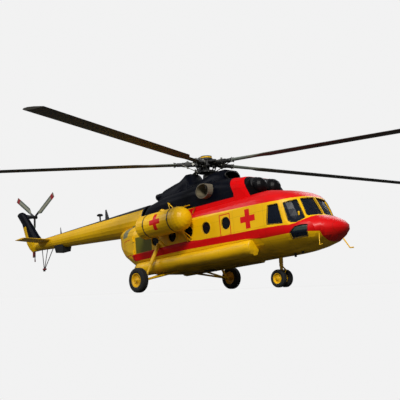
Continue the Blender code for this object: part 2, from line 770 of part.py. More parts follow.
def boom_cone(name, inset=0.0, reach=0.0, sides=20):
    (x0, z0, r0), (x1, z1, r1) = BOOM_FRONT, BOOM_REAR
    along = Vector((x1 - x0, 0.0, z1 - z0)).normalized() * reach
    start = Vector((x0, 0.0, z0)) - along
    end = Vector((x1, 0.0, z1)) + along
    return rod(name, start, end, r0 - inset, sides=sides, end_radius=r1 - inset)


def hinge_half(side, z, way):
    """One knuckle of a clamshell hinge and its leaf: way is 1 on the cabin, -1 on the door."""
    low, high = sorted((z, z - way * HINGE_LENGTH))
    ends = [(HINGE_X, side * HINGE_Y, height) for height in (low, high)]
    knuckle = rod("knuckle", *ends, HINGE_RADIUS, sides=8)
    near_x, far_x = sorted((HINGE_X + way * 0.004, HINGE_X + way * 0.040))
    near_y, far_y = sorted((side * (HINGE_Y - 0.045), side * (HINGE_Y + 0.008)))
    leaf = box("leaf", (near_x, near_y, low), (far_x, far_y, high))
    return knuckle, leaf


def make_rear():
    """The clamshell doors under the waist line, and the boom with the rounded roof over them."""
    for side, title in ((1, "port"), (-1, "stbd")):
        hinge = empty(f"clamshell_hinge_{title}", (HINGE_X, side * HINGE_Y, WAIST_Z / 2), parent=ATTITUDE)
        door = body(f"clamshell_{title}", REAR_SECTIONS)
        boolean(door, helper(body("rear_hollow", REAR_SECTIONS[1:], inset=WALL, reach=0.0), ATTITUDE))
        low_y, high_y = sorted((side * 0.004, side * OUTSIDE_Y))
        limit = box(
            "door_limit",
            (REAR_ROOM_X, low_y, KEEL_Z - 0.25),
            (CABIN_REAR_X - PANEL_GAP, high_y, WAIST_Z - 0.008),
        )
        boolean(door, helper(limit, ATTITUDE), "INTERSECT")
        for z in HINGE_ZS:
            knuckle, leaf = hinge_half(side, z + SEAT / 2, -1)
            boolean(door, helper(knuckle, ATTITUDE), "UNION")
            boolean(door, helper(leaf, ATTITUDE), "UNION")
        keep(door, "gold_paint", hinge)

    roof = body("rear_roof", REAR_SECTIONS)
    limit = box(
        "roof_limit",
        (REAR_ROOM_X, -OUTSIDE_Y, WAIST_Z),
        (CABIN_REAR_X - 0.001, OUTSIDE_Y, ROOF_Z + 0.5),
    )
    boolean(roof, helper(limit, ATTITUDE), "INTERSECT")
    boolean(roof, helper(boom_cone("boom_outer"), ATTITUDE), "UNION")
    boolean(roof, helper(body("roof_hollow", REAR_SECTIONS[1:], inset=WALL), ATTITUDE))
    boolean(roof, helper(boom_cone("boom_hollow", inset=BOOM_WALL, reach=0.4), ATTITUDE))
    roof.name = "tail_boom"
    keep(roof, "gold_paint", ATTITUDE)


def foil(low, high, half_thickness, across):
    """A symmetric wing section between two edge points: rounded ahead, sharp behind."""
    ring = []
    shares = [0.0, 0.06, 0.25, 0.55, 0.85, 1.0]
    heights = [0.0, 0.62, 1.0, 0.85, 0.35, 0.06]
    for share, height in zip(shares, heights):
        ring.append(low + (high - low) * share + across * (half_thickness * height))
    for share, height in zip(reversed(shares[1:]), reversed(heights[1:])):
        ring.append(low + (high - low) * share - across * (half_thickness * height))
    return ring


def fin_body(name, grow=0.0):
    rings = []
    for z, lead, trail, thick in FIN_LEVELS:
        edges = (Vector((lead + grow, 0.0, z)), Vector((trail - grow, 0.0, z)))
        rings.append(foil(*edges, thick + grow * 1.5, Vector((0.0, 1.0, 0.0))))
    return loft(name, rings)


def make_tail():
    fin = fin_body("fin")
    rest_on(fin, "boom")
    keep(fin, "navy_paint", ATTITUDE)

    for side, title in ((1, "port"), (-1, "stbd")):
        rings = [
            foil(Vector((lead, side * y, z)), Vector((trail, side * y, z)), thick, Vector((0.0, 0.0, 1.0)))
            for y, lead, trail, z, thick in STABILISER_STATIONS
        ]
        wing = loft(f"stabiliser_{title}", rings)
        rest_on(wing, "boom")
        keep(wing, "gold_paint", ATTITUDE)


def make_tail_rotor():
    hub = in_fuselage(TAIL_HUB)
    face_y = TAIL_HUB.y - TAIL_BOSS
    ends = [(hub.x, y, hub.z) for y in (0.02, face_y - SEAT)]
    arm = rod("tail_gearbox", *ends, TAIL_ARM_RADII[0], sides=12, end_radius=TAIL_ARM_RADII[1])
    boolean(arm, helper(fin_body("gearbox_seat", grow=SEAT), ATTITUDE))
    keep(arm, "trim_dark", ATTITUDE)

    pivot = empty("tail_rotor_axis", TAIL_HUB)
    centre = rod(
        "tail_rotor_hub",
        TAIL_HUB + Vector((0.0, -TAIL_BOSS, 0.0)),
        TAIL_HUB + Vector((0.0, TAIL_HUB_CAP, 0.0)),
        TAIL_HUB_RADIUS,
        sides=12,
    )
    pieces = [centre]
    for k in range(3):
        turn = Matrix.Rotation(radians(120 * k), 3, "Y")
        length, radius = TAIL_GRIP
        pieces.append(rod("grip", TAIL_HUB, TAIL_HUB + turn @ Vector((0.0, 0.0, -length)), radius, sides=8))
    for k in range(3):
        turn = Matrix.Rotation(radians(120 * k), 4, "Y")
        place = Matrix.Translation(TAIL_HUB) @ turn
        rings = []
        for radius, chord, thick in TAIL_BLADE_STATIONS:
            lead = Vector((0.25 * chord, 0.0, -radius))
            trail = Vector((-0.75 * chord, 0.0, -radius))
            rings.append([place @ p for p in foil(lead, trail, thick, Vector((0.0, 1.0, 0.0)))])
        pieces.append(loft("tail_blade", rings))
    keep(fused("tail_rotor", pieces), "tail_blade_grey", pivot)


def cowl_ring(x, half_width, roof_z, low, inset):
    corner_y, corner_z, steps = 0.55 * half_width, 0.40, 5
    width, top = half_width - inset, roof_z - inset
    turns = [pi / 2 * k / steps for k in range(steps + 1)]
    half = [(width, low)] + [
        (width - corner_y * (1 - cos(a)), top - corner_z * (1 - sin(a))) for a in turns
    ]
    return [(x, y, z) for y, z in half] + [(x, -y, z) for y, z in reversed(half)]


def cowl(name, sections, low=COWL_LOW_Z, inset=0.0, stretch=0.0):
    rings = [cowl_ring(x, w, top, low - inset, inset) for x, w, top in sections]
    if stretch:
        rings.insert(0, [(x - stretch, y, z) for x, y, z in rings[0]])
        rings.append([(x + stretch, y, z) for x, y, z in rings[-1]])
    return loft(name, rings)


def oval(half_width, half_height, centre_z, steps):
    turns = [2 * pi * k / steps for k in range(steps)]
    return [(half_width * cos(a), centre_z + half_height * sin(a)) for a in turns]


def make_cowling():
    skin = COWL_SKIN
    main = cowl("engine_cowl", COWL_SECTIONS)
    ridge = loft("ridge", [cowl_ring(x, w, top, RIDGE_LOW_Z, 0.0) for x, w, top in RIDGE_SECTIONS])
    boolean(main, helper(ridge, ATTITUDE), "UNION")
    inner = [(x, w, top) for x, w, top in COWL_SECTIONS]
    inner[0] = (-2.70, *inner[0][1:])
    hollow = loft(
        "cowl_hollow", [cowl_ring(x, w, top, 1.6, skin) for x, w, top in inner[:-1]]
        + [cowl_ring(2.5, *inner[-1][1:], 1.6, skin)]
    )
    boolean(main, helper(hollow, ATTITUDE))
    ridge_inner = loft(
        "ridge_hollow",
        [cowl_ring(x, w, top, RIDGE_LOW_Z - 0.4, skin) for x, w, top in RIDGE_SECTIONS[1:-1]],
    )
    boolean(main, helper(ridge_inner, ATTITUDE))
    mouth = oval(FAN_MOUTH_HALF_WIDTH, FAN_MOUTH_HALF_HEIGHT, FAN_MOUTH_Z, 20)
    mouth_room = loft("fan_mouth", [[(x, y, z) for y, z in mouth] for x in FAN_MOUTH_X])
    boolean(main, helper(mouth_room, ATTITUDE))
    end, aft = Vector(NOZZLE_END), Vector((-1.0, 0.0, 0.0))
    nozzle = rod("rear_nozzle", end - aft * NOZZLE_LENGTH, end, NOZZLE_RADIUS, sides=16)
    boolean(main, helper(nozzle, ATTITUDE), "UNION")
    nozzle_bore = rod("nozzle_bore", end - aft * NOZZLE_DEPTH, end + aft * 0.1, NOZZLE_BORE, sides=16)
    boolean(main, helper(nozzle_bore, ATTITUDE))
    mast_ends = [in_fuselage((0.0, 0.0, z)) for z in (MAST_FOOT_Z - 0.15, HUB_Z)]
    boolean(main, helper(rod("mast_hole", *mast_ends, MAST_HOLE_RADIUS, sides=20), ATTITUDE))
    rest_on(main, "cabin", "rear", "boom")
    for side in (1, -1):
        pipe = exhaust_pipe("exhaust_hole", side, SEAT)
        boolean(main, helper(pipe, ATTITUDE))
    keep(main, "navy_paint", ATTITUDE)

    front = intake_cowl("intake_cowl")
    boolean(front, helper(intake_cowl("front_hollow", skin, 0.3), ATTITUDE))
    rest_on(front, "cabin")
    keep(front, "red_paint", ATTITUDE)


def intake_cowl(name, inset=0.0, stretch=0.0):
    """The red nose of the cowling; its front face leans back."""
    low_z = COWL_LOW_Z if inset <= 0 else COWL_LOW_Z - 0.1
    rings = [cowl_ring(x, w, top, low_z, inset) for x, w, top in INTAKE_COWL_SECTIONS]
    rings[0] = [(x - stretch, y, z) for x, y, z in rings[0]]
    base_z, lean = INTAKE_LEAN
    rings[-1] = [(x - inset - lean * (z - base_z), y, z) for x, y, z in rings[-1]]
    return loft(name, rings)


def exhaust_pipe(name, side, grow=0.0):
    """The oval stub that carries an engine's gas out through the cowling."""
    length, height = EXHAUST_HALF[0] + grow, EXHAUST_HALF[1] + grow
    rings = []
    for y in EXHAUST_Y:
        middle_x = EXHAUST_X - EXHAUST_SWEEP * (y - EXHAUST_Y[0])
        rings.append([(middle_x + x, side * y, z) for x, z in oval(length, height, EXHAUST_Z, 20)])
    return loft(name, rings)


def make_engines():
    for side, title in ((1, "port"), (-1, "stbd")):
        base_x, base_y, base_z = DOME_PLACE
        dome = turned(f"intake_filter_{title}", DOME_PROFILE, 24, "X", (base_x, side * base_y, base_z))
        rest_on(dome, "cabin", "intake")
        keep(dome, "black_gloss", ATTITUDE)
        pipe = exhaust_pipe("exhaust", side)
        bore = exhaust_pipe("exhaust_bore", side, -EXHAUST_WALL)
        bore.location = (0.0, side * EXHAUST_BOTTOM_Y, 0.0)
        boolean(pipe, helper(bore, ATTITUDE))
        pipe.name = f"exhaust_{title}"
        keep(pipe, "bare_steel", ATTITUDE)
        rear_x, front_x, low_z, top_z, half = ENGINE_BLOCK
        engine = box(
            f"engine_{title}",
            (rear_x, side * ENGINE_Y - half, low_z),
            (front_x, side * ENGINE_Y + half, top_z),
        )
        rest_on(engine, "cabin")
        keep(engine, "engine_metal", ATTITUDE)
    rear_x, front_x, low_z, half = GEARBOX_BLOCK
    gearbox = box("gearbox", (rear_x, -half, low_z), (front_x, half, MAST_FOOT_Z - SEAT))
    rest_on(gearbox, "cabin")
    keep(gearbox, "engine_metal")


def blade_place(k):
    """Turns a blade's own frame, along +X at the hub, to its azimuth and its rest angle."""
    azimuth = Matrix.Rotation(radians(FIRST_BLADE_AZIMUTH + 72 * k), 4, "Z")
    flap = Matrix.Rotation(radians(-BLADE_FLAP[k]), 4, "Y")
    return Matrix.Translation((0.0, 0.0, HUB_Z)) @ azimuth @ flap


def make_rotor():
    ends = [(0.0, 0.0, z) for z in (MAST_FOOT_Z, MAST_HEAD_Z)]
    mast = rod("mast", *ends, MAST_RADII[0], sides=16, end_radius=MAST_RADII[1])
    keep(mast, "trim_dark")

    axis = empty("main_rotor_axis", (0.0, 0.0, HUB_Z))
    profile = [
        (0.0, HUB_CAP_Z - HUB_Z),
        (0.20, HUB_CAP_Z - HUB_Z),
        (0.21, 0.14),
        (0.15, 0.12),
        (0.26, 0.08),
        (0.26, -0.08),
        (0.11, -0.12),
        (0.11, -0.24),
        (0.30, -0.25),
        (0.30, -0.33),
        (0.11, -0.34),
        (0.11, MAST_HEAD_Z + SEAT - HUB_Z),
        (0.0, MAST_HEAD_Z + SEAT - HUB_Z),
    ]
    centre = turned("rotor_hub", profile, 20, "Z", (0.0, 0.0, HUB_Z))
    pieces = [centre]
    for k in range(5):
        turn = Matrix.Translation((0.0, 0.0, HUB_Z))
        turn = turn @ Matrix.Rotation(radians(FIRST_BLADE_AZIMUTH + 72 * k), 4, "Z")
        arm = [turn @ Vector((reach, 0.0, 0.0)) for reach in ARM_SPAN]
        pieces.append(rod("arm", *arm, ARM_RADIUS, sides=10))
        grip = [blade_place(k) @ Vector((reach, 0.0, 0.0)) for reach in (GRIP_START, BLADE_ROOT_R - SEAT)]
        pieces.append(rod("grip", *grip, GRIP_RADIUS, sides=8))
        link = [turn @ Vector(end) for end in PITCH_LINK]
        pieces.append(rod("pitch_link", *link, PITCH_LINK_RADIUS, sides=6))
    keep(fused("rotor_hub", pieces), "trim_dark", axis)

    for k in range(5):
        place = blade_place(k)
        rings = []
        for radius, chord, thick in BLADE_STATIONS:
            lead = Vector((radius, -BLADE_LEAD_SHARE * chord, 0.0))
            trail = Vector((radius, (1.0 - BLADE_LEAD_SHARE) * chord, 0.0))
            rings.append([place @ p for p in foil(lead, trail, thick, Vector((0.0, 0.0, 1.0)))])
        keep(loft(f"main_blade_{k + 1}", rings), "blade_olive", axis)


def wheel(name, axle, radius, width, hub_radius):
    """A tyre and its rim on one axle line, each a turned body."""
    half = width / 2
    tyre_profile = [
        (hub_radius, half * 0.80),
        (radius - 0.09, half),
        (radius - 0.03, half * 0.86),
        (radius, half * 0.45),
        (radius, -half * 0.45),
        (radius - 0.03, -half * 0.86),
        (radius - 0.09, -half),
        (hub_radius, -half * 0.80),
    ]
    tyre = turned(f"{name}_tyre", tyre_profile, WHEEL_STEPS, "Y", axle, closed=True)
    rim_profile = [
        (0.0, half * 0.62),
        (0.06, half * 0.62),
        (0.10, half * 0.35),
        (hub_radius * 0.80, half * 0.40),
        (hub_radius * 0.92, half * 0.86),
        (hub_radius - SEAT, half * 0.86),
        (hub_radius - SEAT, -half * 0.86),
        (hub_radius * 0.92, -half * 0.86),
        (hub_radius * 0.80, -half * 0.40),
        (0.10, -half * 0.35),
        (0.06, -half * 0.62),
        (0.0, -half * 0.62),
    ]
    rim = turned(f"{name}_rim", rim_profile, WHEEL_STEPS, "Y", axle)
    return tyre, rim


def make_main_gear():
    for side, title in ((1, "port"), (-1, "stbd")):
        axle = Vector((MAIN_AXLE.x, side * MAIN_AXLE.y, MAIN_AXLE.z))
        pivot = empty(f"main_wheel_axis_{title}", axle)
        tyre, rim = wheel(f"main_{title}", axle, MAIN_TYRE_RADIUS, MAIN_TYRE_WIDTH, MAIN_RIM_RADIUS)
        keep(tyre, "tyre_rubber", pivot)
        keep(rim, "gold_paint", pivot)

        boss = 0.31 * MAIN_TYRE_WIDTH + SEAT
        inner = Vector((axle.x, side * (MAIN_AXLE.y - boss), axle.z))
        knuckle = Vector((axle.x, side * KNUCKLE_Y, axle.z))
        top = in_world((STRUT_TOP[0], side * STRUT_TOP[1], STRUT_TOP[2]))
        pieces = [
            rod("strut_low", knuckle, knuckle.lerp(top, 0.55), STRUT_RADII[0], sides=10),
            rod("strut_high", knuckle.lerp(top, 0.45), top, STRUT_RADII[1], sides=10),
            rod("axle", inner, knuckle + Vector((0.0, -side * 0.03, 0.0)), MAIN_AXLE_RADIUS, sides=10),
        ]
        for name, (x, y, z) in BRACE_ENDS.items():
            pieces.append(rod(name, knuckle, in_world((x, side * y, z)), BRACE_RADIUS, sides=8))
        leg = fused(f"main_leg_{title}", pieces)
        rest_on(leg, "cabin")
        keep(leg, "gold_paint")


def make_nose_gear():
    steer = empty("nose_steer_axis", (NOSE_AXLE.x, 0.0, NOSE_AXLE.z))
    spin = empty("nose_wheel_axis", (NOSE_AXLE.x, 0.0, NOSE_AXLE.z))
    sleeve_low, sleeve_top = NOSE_SLEEVE_Z
    ends = [(NOSE_AXLE.x, 0.0, z) for z in NOSE_SLEEVE_Z]
    leg = rod("nose_leg", *ends, NOSE_SLEEVE_RADIUS, sides=14)
    rest_on(leg, "cabin")
    keep(leg, "gold_paint")

    axle = Vector((NOSE_AXLE.x, 0.0, NOSE_AXLE.z))
    sleeve = Vector((NOSE_AXLE.x, 0.0, sleeve_low))
    up, across = Vector((0.0, 0.0, 1.0)), Vector((0.0, 1.0, 0.0))
    half_barrel, barrel_radius = NOSE_BARREL
    knee = axle + NOSE_KNEE
    pieces = [
        rod("nose_fork", axle, sleeve - up * SEAT, NOSE_STEM_RADIUS, sides=12),
        rod("fork_collar", sleeve - up * 0.10, sleeve - up * 0.01, NOSE_COLLAR_RADIUS, sides=12),
        rod("barrel", axle - across * half_barrel, axle + across * half_barrel, barrel_radius, sides=16),
        rod("link_high", sleeve - up * 0.06, knee, NOSE_LINK_RADIUS, sides=6),
        rod("link_low", knee + up * 0.012, axle + Vector((0.01, 0.0, 0.01)), NOSE_LINK_RADIUS, sides=6),
    ]
    fork = fused("nose_fork", pieces)
    bore = rod("axle_bore", axle - across * 0.3, axle + across * 0.3, AXLE_BORE_RADIUS, sides=16)
    boolean(fork, helper(bore))
    keep(fork, "gold_paint", steer)

    rims = []
    for side, title in ((1, "port"), (-1, "stbd")):
        centre = Vector((NOSE_AXLE.x, side * NOSE_AXLE.y, NOSE_AXLE.z))
        tyre, rim = wheel(f"nose_{title}", centre, NOSE_TYRE_RADIUS, NOSE_TYRE_WIDTH, NOSE_RIM_RADIUS)
        keep(tyre, "tyre_rubber", spin)
        rims.append(rim)
    half_tube, tube_radius = AXLE_TUBE
    ends = [axle + across * reach for reach in (-half_tube, half_tube)]
    rims.append(rod("axle_tube", *ends, tube_radius, sides=10))
    keep(fused("nose_rims", [rims[0], rims[2], rims[1]]), "gold_paint", spin)


def make_tanks():
    for side, title in ((1, "port"), (-1, "stbd")):
        ahead = LOW_TANK_FRONT[title]
        stations = [(x, share) for x, share in LOW_TANK_REAR]
        stations += [(ahead - back, share) for back, share in LOW_TANK_NOSE]
        rings = []
        for x, share in stations:
            out = HALF_WIDTH + LOW_TANK_DEPTH * share
            outline = LOW_TANK_INNER + [(out + grow, z) for grow, z in LOW_TANK_OUTER] + LOW_TANK_TOP
            rings.append([(x, side * y, z) for y, z in outline])
        tank = loft(f"low_tank_{title}", rings)
        rest_on(tank, "cabin")
        keep(tank, "gold_paint", ATTITUDE)

        radius, (rear, front) = HIGH_TANK_RADIUS, HIGH_TANK_X
        y, z = side * HIGH_TANK_YZ[0], HIGH_TANK_YZ[1]
        arc = [pi / 2 * k / 5 for k in range(6)]
        profile = [(radius * sin(a), front - rear + radius * cos(a)) for a in arc]
        profile += [(radius * cos(a), -HIGH_TANK_REAR_CAP * radius * sin(a)) for a in arc]
        drum = turned("drum", [(max(r, 0.0), h) for r, h in profile], 24, "X", (rear, y, z))
        pieces = [drum]
        crown = z + radius - 0.04
        for x in UPPER_STAY_XS:
            foot = (x + 0.12, side * UPPER_STAY_FOOT[0], UPPER_STAY_FOOT[1])
            pieces.append(rod("stay", (x, y, crown), foot, UPPER_STAY_RADIUS, sides=6))
            pieces.append(rod("stay", (x - 0.30, y, crown), foot, UPPER_STAY_RADIUS, sides=6))
        for x in LOWER_STAY_XS:
            head = (x, y - side * 0.1, z - radius + 0.05)
            foot = (x, side * LOWER_STAY_FOOT[0], LOWER_STAY_FOOT[1])
            pieces.append(rod("stay", head, foot, LOWER_STAY_RADIUS, sides=6))
        tank = fused(f"high_tank_{title}", pieces, ATTITUDE)
        rest_on(tank, "cabin", "cowl")
        keep(tank, "gold_paint", ATTITUDE)


def make_small_parts():
    half, height = SLING_PLATE
    plate = box("sling_plate", (-half, -half, 0.0), (half, half, height))
    rest_on(plate, "cabin")
    keep(plate, "bare_steel")

    pieces = [rod("tail_skid", top, SKID_TIP, SKID_LEG_RADIUS, sides=6) for top in SKID_TOPS]
    shoe = Vector((0.0, 0.0, SKID_SHOE[0]))
    pieces.append(rod("skid_shoe", SKID_TIP + shoe, SKID_TIP - shoe, SKID_SHOE[1], sides=8))
    skid = fused("tail_skid", pieces, ATTITUDE)
    rest_on(skid, "boom")
    keep(skid, "trim_dark", ATTITUDE)

    rings = [
        [(rear, -half, z), (rear, half, z), (front, half, z), (front, -half, z)]
        for rear, front, half, z in (RADAR_FOOT, RADAR_HEAD)
    ]
    radar = loft("doppler_box", rings)
    rest_on(radar, "boom")
    keep(radar, "black_gloss", ATTITUDE)

    across = Vector((0.0, 1.0, 0.0))
    for name, x, low, top, chord in ANTENNAS:
        rings = [
            foil(Vector((x + chord, 0.0, low)), Vector((x - chord, 0.0, low)), 0.02, across),
            foil(Vector((x - chord * 0.1, 0.0, top)), Vector((x - chord * 0.7, 0.0, top)), 0.01, across),
        ]
        fence = loft(name, rings)
        rest_on(fence, "boom")
        keep(fence, "trim_dark", ATTITUDE)


make_cockpit()
make_cockpit_inside()
make_cabin()
make_sliding_door()
make_rear()
make_tail()
make_tail_rotor()
make_cowling()
make_engines()
make_rotor()
make_main_gear()
make_nose_gear()
make_tanks()
make_small_parts()
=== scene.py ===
# %% [markdown]
# A rescue helicopter, dressed on its frame.
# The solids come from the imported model: one object per sub-part, all in metres, with the
# floor 0.63 m under the origin. This lesson adds what a solid alone cannot show: paint,
# glass, rubber, rivets, and the small fittings of the rotor head, the tanks and the gear.

from math import cos, pi, radians, sin

import bmesh
import bpy
from mathutils import Matrix, Vector
from mathutils.bvhtree import BVHTree


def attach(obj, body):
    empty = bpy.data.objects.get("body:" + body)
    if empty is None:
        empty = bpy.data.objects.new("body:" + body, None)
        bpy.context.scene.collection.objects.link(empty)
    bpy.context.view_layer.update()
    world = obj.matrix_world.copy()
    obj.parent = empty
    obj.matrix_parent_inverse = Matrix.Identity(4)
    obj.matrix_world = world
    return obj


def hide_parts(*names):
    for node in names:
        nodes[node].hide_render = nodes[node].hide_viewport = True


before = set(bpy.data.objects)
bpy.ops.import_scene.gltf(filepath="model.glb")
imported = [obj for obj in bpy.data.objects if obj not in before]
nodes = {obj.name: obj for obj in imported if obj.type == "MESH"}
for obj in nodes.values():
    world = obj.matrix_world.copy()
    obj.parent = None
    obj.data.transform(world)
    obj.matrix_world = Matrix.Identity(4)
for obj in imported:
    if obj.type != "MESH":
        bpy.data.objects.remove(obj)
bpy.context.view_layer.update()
print("nodes:", len(nodes))

# %% [markdown]
# The body sits nose-up on its gear, so the stripes and the windows follow the body's own
# level and not the floor. Every place on the body is therefore given in body coordinates:
# x forward, y to port and z up, turned by the parking angle round the origin.

# %% Body coordinates
PARKING_ANGLE = radians(4.5)
FLOOR_Z = -0.63
BODY_TURN = Matrix.Rotation(-PARKING_ANGLE, 4, "Y")


def on_body(x, y, z):
    """A place in body coordinates, as a place in the shared frame."""
    return BODY_TURN @ Vector((x, y, z))


print("nose tip height above the floor:", round(on_body(5.6, 0, 0.6).z - FLOOR_Z, 3), "m")

# %% [markdown]
# The photograph was taken from near the ground, ahead of the starboard side, with a long
# lens held slightly crooked. A camera is placed by its position and by three turns: azimuth
# round the vertical, elevation over the horizon, and roll round the line of sight.

# %% Camera
CAMERA_PLACE = (17.0699, -16.7738, -0.57)
CAMERA_AZIMUTH = radians(46.153)
CAMERA_ELEVATION = radians(7.296)
CAMERA_ROLL = radians(-2.186)
FOCAL_PIXELS = 691.62
FRAME_PIXELS = 400
SENSOR_WIDTH = 36.0
CLIP_END = 400.0


def aim_camera():
    look = Vector(
        (
            -sin(CAMERA_AZIMUTH) * cos(CAMERA_ELEVATION),
            cos(CAMERA_AZIMUTH) * cos(CAMERA_ELEVATION),
            sin(CAMERA_ELEVATION),
        )
    )
    level_right = Vector((cos(CAMERA_AZIMUTH), sin(CAMERA_AZIMUTH), 0))
    level_up = level_right.cross(look)
    right = level_right * cos(CAMERA_ROLL) + level_up * sin(CAMERA_ROLL)
    up = level_up * cos(CAMERA_ROLL) - level_right * sin(CAMERA_ROLL)
    lens = bpy.data.cameras.new("camera")
    lens.sensor_width = SENSOR_WIDTH
    lens.lens = FOCAL_PIXELS / FRAME_PIXELS * SENSOR_WIDTH
    lens.clip_end = CLIP_END
    camera = bpy.data.objects.new("camera", lens)
    turn = Matrix((right, up, -look)).transposed().to_4x4()
    camera.matrix_world = Matrix.Translation(CAMERA_PLACE) @ turn
    bpy.context.scene.collection.objects.link(camera)
    bpy.context.scene.camera = camera
    return camera


camera = aim_camera()
print("lens:", round(camera.data.lens, 2), "mm")

# %% [markdown]
# Shader trees are easier to read as sums than as boxes and wires. These few helpers place a
# node, feed its sockets with numbers or with other nodes, and hand back its output.

# %% Shader helpers


def feed(tree, socket, value):
    if isinstance(value, bpy.types.NodeSocket):
        tree.links.new(value, socket)
    else:
        socket.default_value = value


def place(tree, kind, *values, **settings):
    """A new node with its settings and with its first sockets fed in order."""
    node = tree.nodes.new(kind)
    for name, value in settings.items():
        setattr(node, name, value)
    for socket, value in zip(node.inputs, values):
        if value is not None:
            feed(tree, socket, value)
    return node


def sum_of(tree, operation, a, b=0.0, c=0.0):
    return place(tree, "ShaderNodeMath", a, b, c, operation=operation).outputs[0]


def scaled(tree, value, low, high, to_low=0.0, to_high=1.0):
    """The value's place between low and high, held within to_low and to_high."""
    return place(tree, "ShaderNodeMapRange", value, low, high, to_low, to_high).outputs[0]


def between(tree, value, low, high, soft=0.004):
    """1 where the value lies between low and high, with a narrow soft edge."""
    rise = scaled(tree, sum_of(tree, "SUBTRACT", value, low), -soft, soft)
    fall = scaled(tree, sum_of(tree, "SUBTRACT", high, value), -soft, soft)
    return sum_of(tree, "MULTIPLY", rise, fall)


def both(tree, *masks):
    total = masks[0]
    for mask in masks[1:]:
        total = sum_of(tree, "MULTIPLY", total, mask)
    return total


def either(tree, *masks):
    total = masks[0]
    for mask in masks[1:]:
        total = sum_of(tree, "MAXIMUM", total, mask)
    return total


def blended(tree, share, first, second):
    node = tree.nodes.new("ShaderNodeMix")
    node.data_type = "RGBA"
    feed(tree, node.inputs[0], share)
    feed(tree, node.inputs[6], first)
    feed(tree, node.inputs[7], second)
    return node.outputs[2]


def line_through(tree, x, points):
    """A height that follows x through a short table of (x, height) points."""
    total = points[0][1]
    for (x0, h0), (x1, h1) in zip(points, points[1:]):
        step = scaled(tree, x, x0, x1, 0.0, abs(h1 - h0))
        total = sum_of(tree, "ADD" if h1 >= h0 else "SUBTRACT", total, step)
    return total


def noise(tree, where, size, detail=3.0, rough=0.55):
    node = place(tree, "ShaderNodeTexNoise")
    feed(tree, node.inputs["Vector"], where)
    node.inputs["Scale"].default_value = 1.0 / size
    node.inputs["Detail"].default_value = detail
    node.inputs["Roughness"].default_value = rough
    return node.outputs["Fac"]


def srgb(red, green, blue):
    """A colour picked from a picture, 0 to 255, as linear light."""
    parts = [v / 255 for v in (red, green, blue)]
    return tuple(v / 12.92 if v <= 0.04045 else ((v + 0.055) / 1.055) ** 2.4 for v in parts) + (1.0,)


print("mid grey as linear light:", [round(v, 3) for v in srgb(128, 128, 128)])

# %% [markdown]
# A plain pale floor and an even pale sky show the machine as in a studio. The camera is
# almost on the floor, so the floor meets the sky right behind the wheels. To leave no line
# there, the floor glows in the sky's own colour and takes soft shadows only close to the
# machine. To everything but the camera it is dark, so that the belly stays in shade, as it
# does over dark ground.

# %% Floor
PALE = (0.887, 0.887, 0.887, 1.0)
FLOOR_CLOTH = (0.75, 0.75, 0.75, 1.0)
FLOOR_BOUNCE = (0.09, 0.09, 0.08, 1.0)
FLOOR_HALF = 160.0
SHADOW_SHARE = 0.05
SHADOW_FADE = (7.0, 15.0)


def floor_finish():
    look = bpy.data.materials.new("pale_floor")
    look.use_nodes = True
    tree = look.node_tree
    tree.nodes.clear()
    spot = place(tree, "ShaderNodeTexCoord").outputs["Object"]
    reach = place(tree, "ShaderNodeVectorMath", spot, operation="LENGTH").outputs["Value"]
    share = scaled(tree, reach, *SHADOW_FADE, SHADOW_SHARE, 0.0)
    glow = place(tree, "ShaderNodeEmission", PALE).outputs[0]
    cloth = place(tree, "ShaderNodeBsdfDiffuse", FLOOR_CLOTH).outputs[0]
    shaded = place(tree, "ShaderNodeMixShader", share, glow, cloth).outputs[0]
    unseen = place(tree, "ShaderNodeBsdfDiffuse", FLOOR_BOUNCE).outputs[0]
    to_camera = place(tree, "ShaderNodeLightPath").outputs["Is Camera Ray"]
    pick = place(tree, "ShaderNodeMixShader", to_camera, unseen, shaded).outputs[0]
    place(tree, "ShaderNodeOutputMaterial", pick)
    return look


def stage_floor():
    mesh = bmesh.new()
    bmesh.ops.create_grid(mesh, x_segments=1, y_segments=1, size=FLOOR_HALF)
    bmesh.ops.translate(mesh, verts=mesh.verts, vec=(0, 0, FLOOR_Z))
    data = bpy.data.meshes.new("floor")
    mesh.to_mesh(data)
    mesh.free()
    floor = bpy.data.objects.new("floor", data)
    bpy.context.scene.collection.objects.link(floor)
    data.materials.append(floor_finish())


stage_floor()
print("floor at", FLOOR_Z, "m")

# %% Sky
SKY_LIGHT = (0.93, 0.96, 1.0, 1.0)
SKY_STRENGTH = 0.26


def pale_sky():
    world = bpy.data.worlds.new("pale_sky")
    world.use_nodes = True
    bpy.context.scene.world = world
    tree = world.node_tree
    tree.nodes.clear()
    seen = place(tree, "ShaderNodeBackground", PALE).outputs[0]
    light = place(tree, "ShaderNodeBackground", SKY_LIGHT, SKY_STRENGTH).outputs[0]
    to_camera = place(tree, "ShaderNodeLightPath").outputs["Is Camera Ray"]
    pick = place(tree, "ShaderNodeMixShader", to_camera, light, seen).outputs[0]
    place(tree, "ShaderNodeOutputWorld", pick)


pale_sky()
bpy.context.scene.view_settings.view_transform = "Standard"
print("sky strength:", SKY_STRENGTH)

# %% [markdown]
# Soft daylight comes from high over the nose on the starboard side. A large area light
# gives the wide soft highlights on the tank and on the nose, and two weaker ones keep the
# far side readable when the model is turned.

# %% Lights
# Columns: name, place, target, width, watts, colour
LAMPS = [
    ("key_light", (20, -22, 23), (0, 0, 1.5), 9, 14000, (1.0, 0.97, 0.92)),
    ("fill_light", (-22, -16, 16), (-2, 0, 1.5), 14, 2200, (0.95, 0.97, 1.0)),
    ("far_light", (-4, 26, 18), (0, 0, 1.5), 14, 1700, (0.97, 0.98, 1.0)),
]


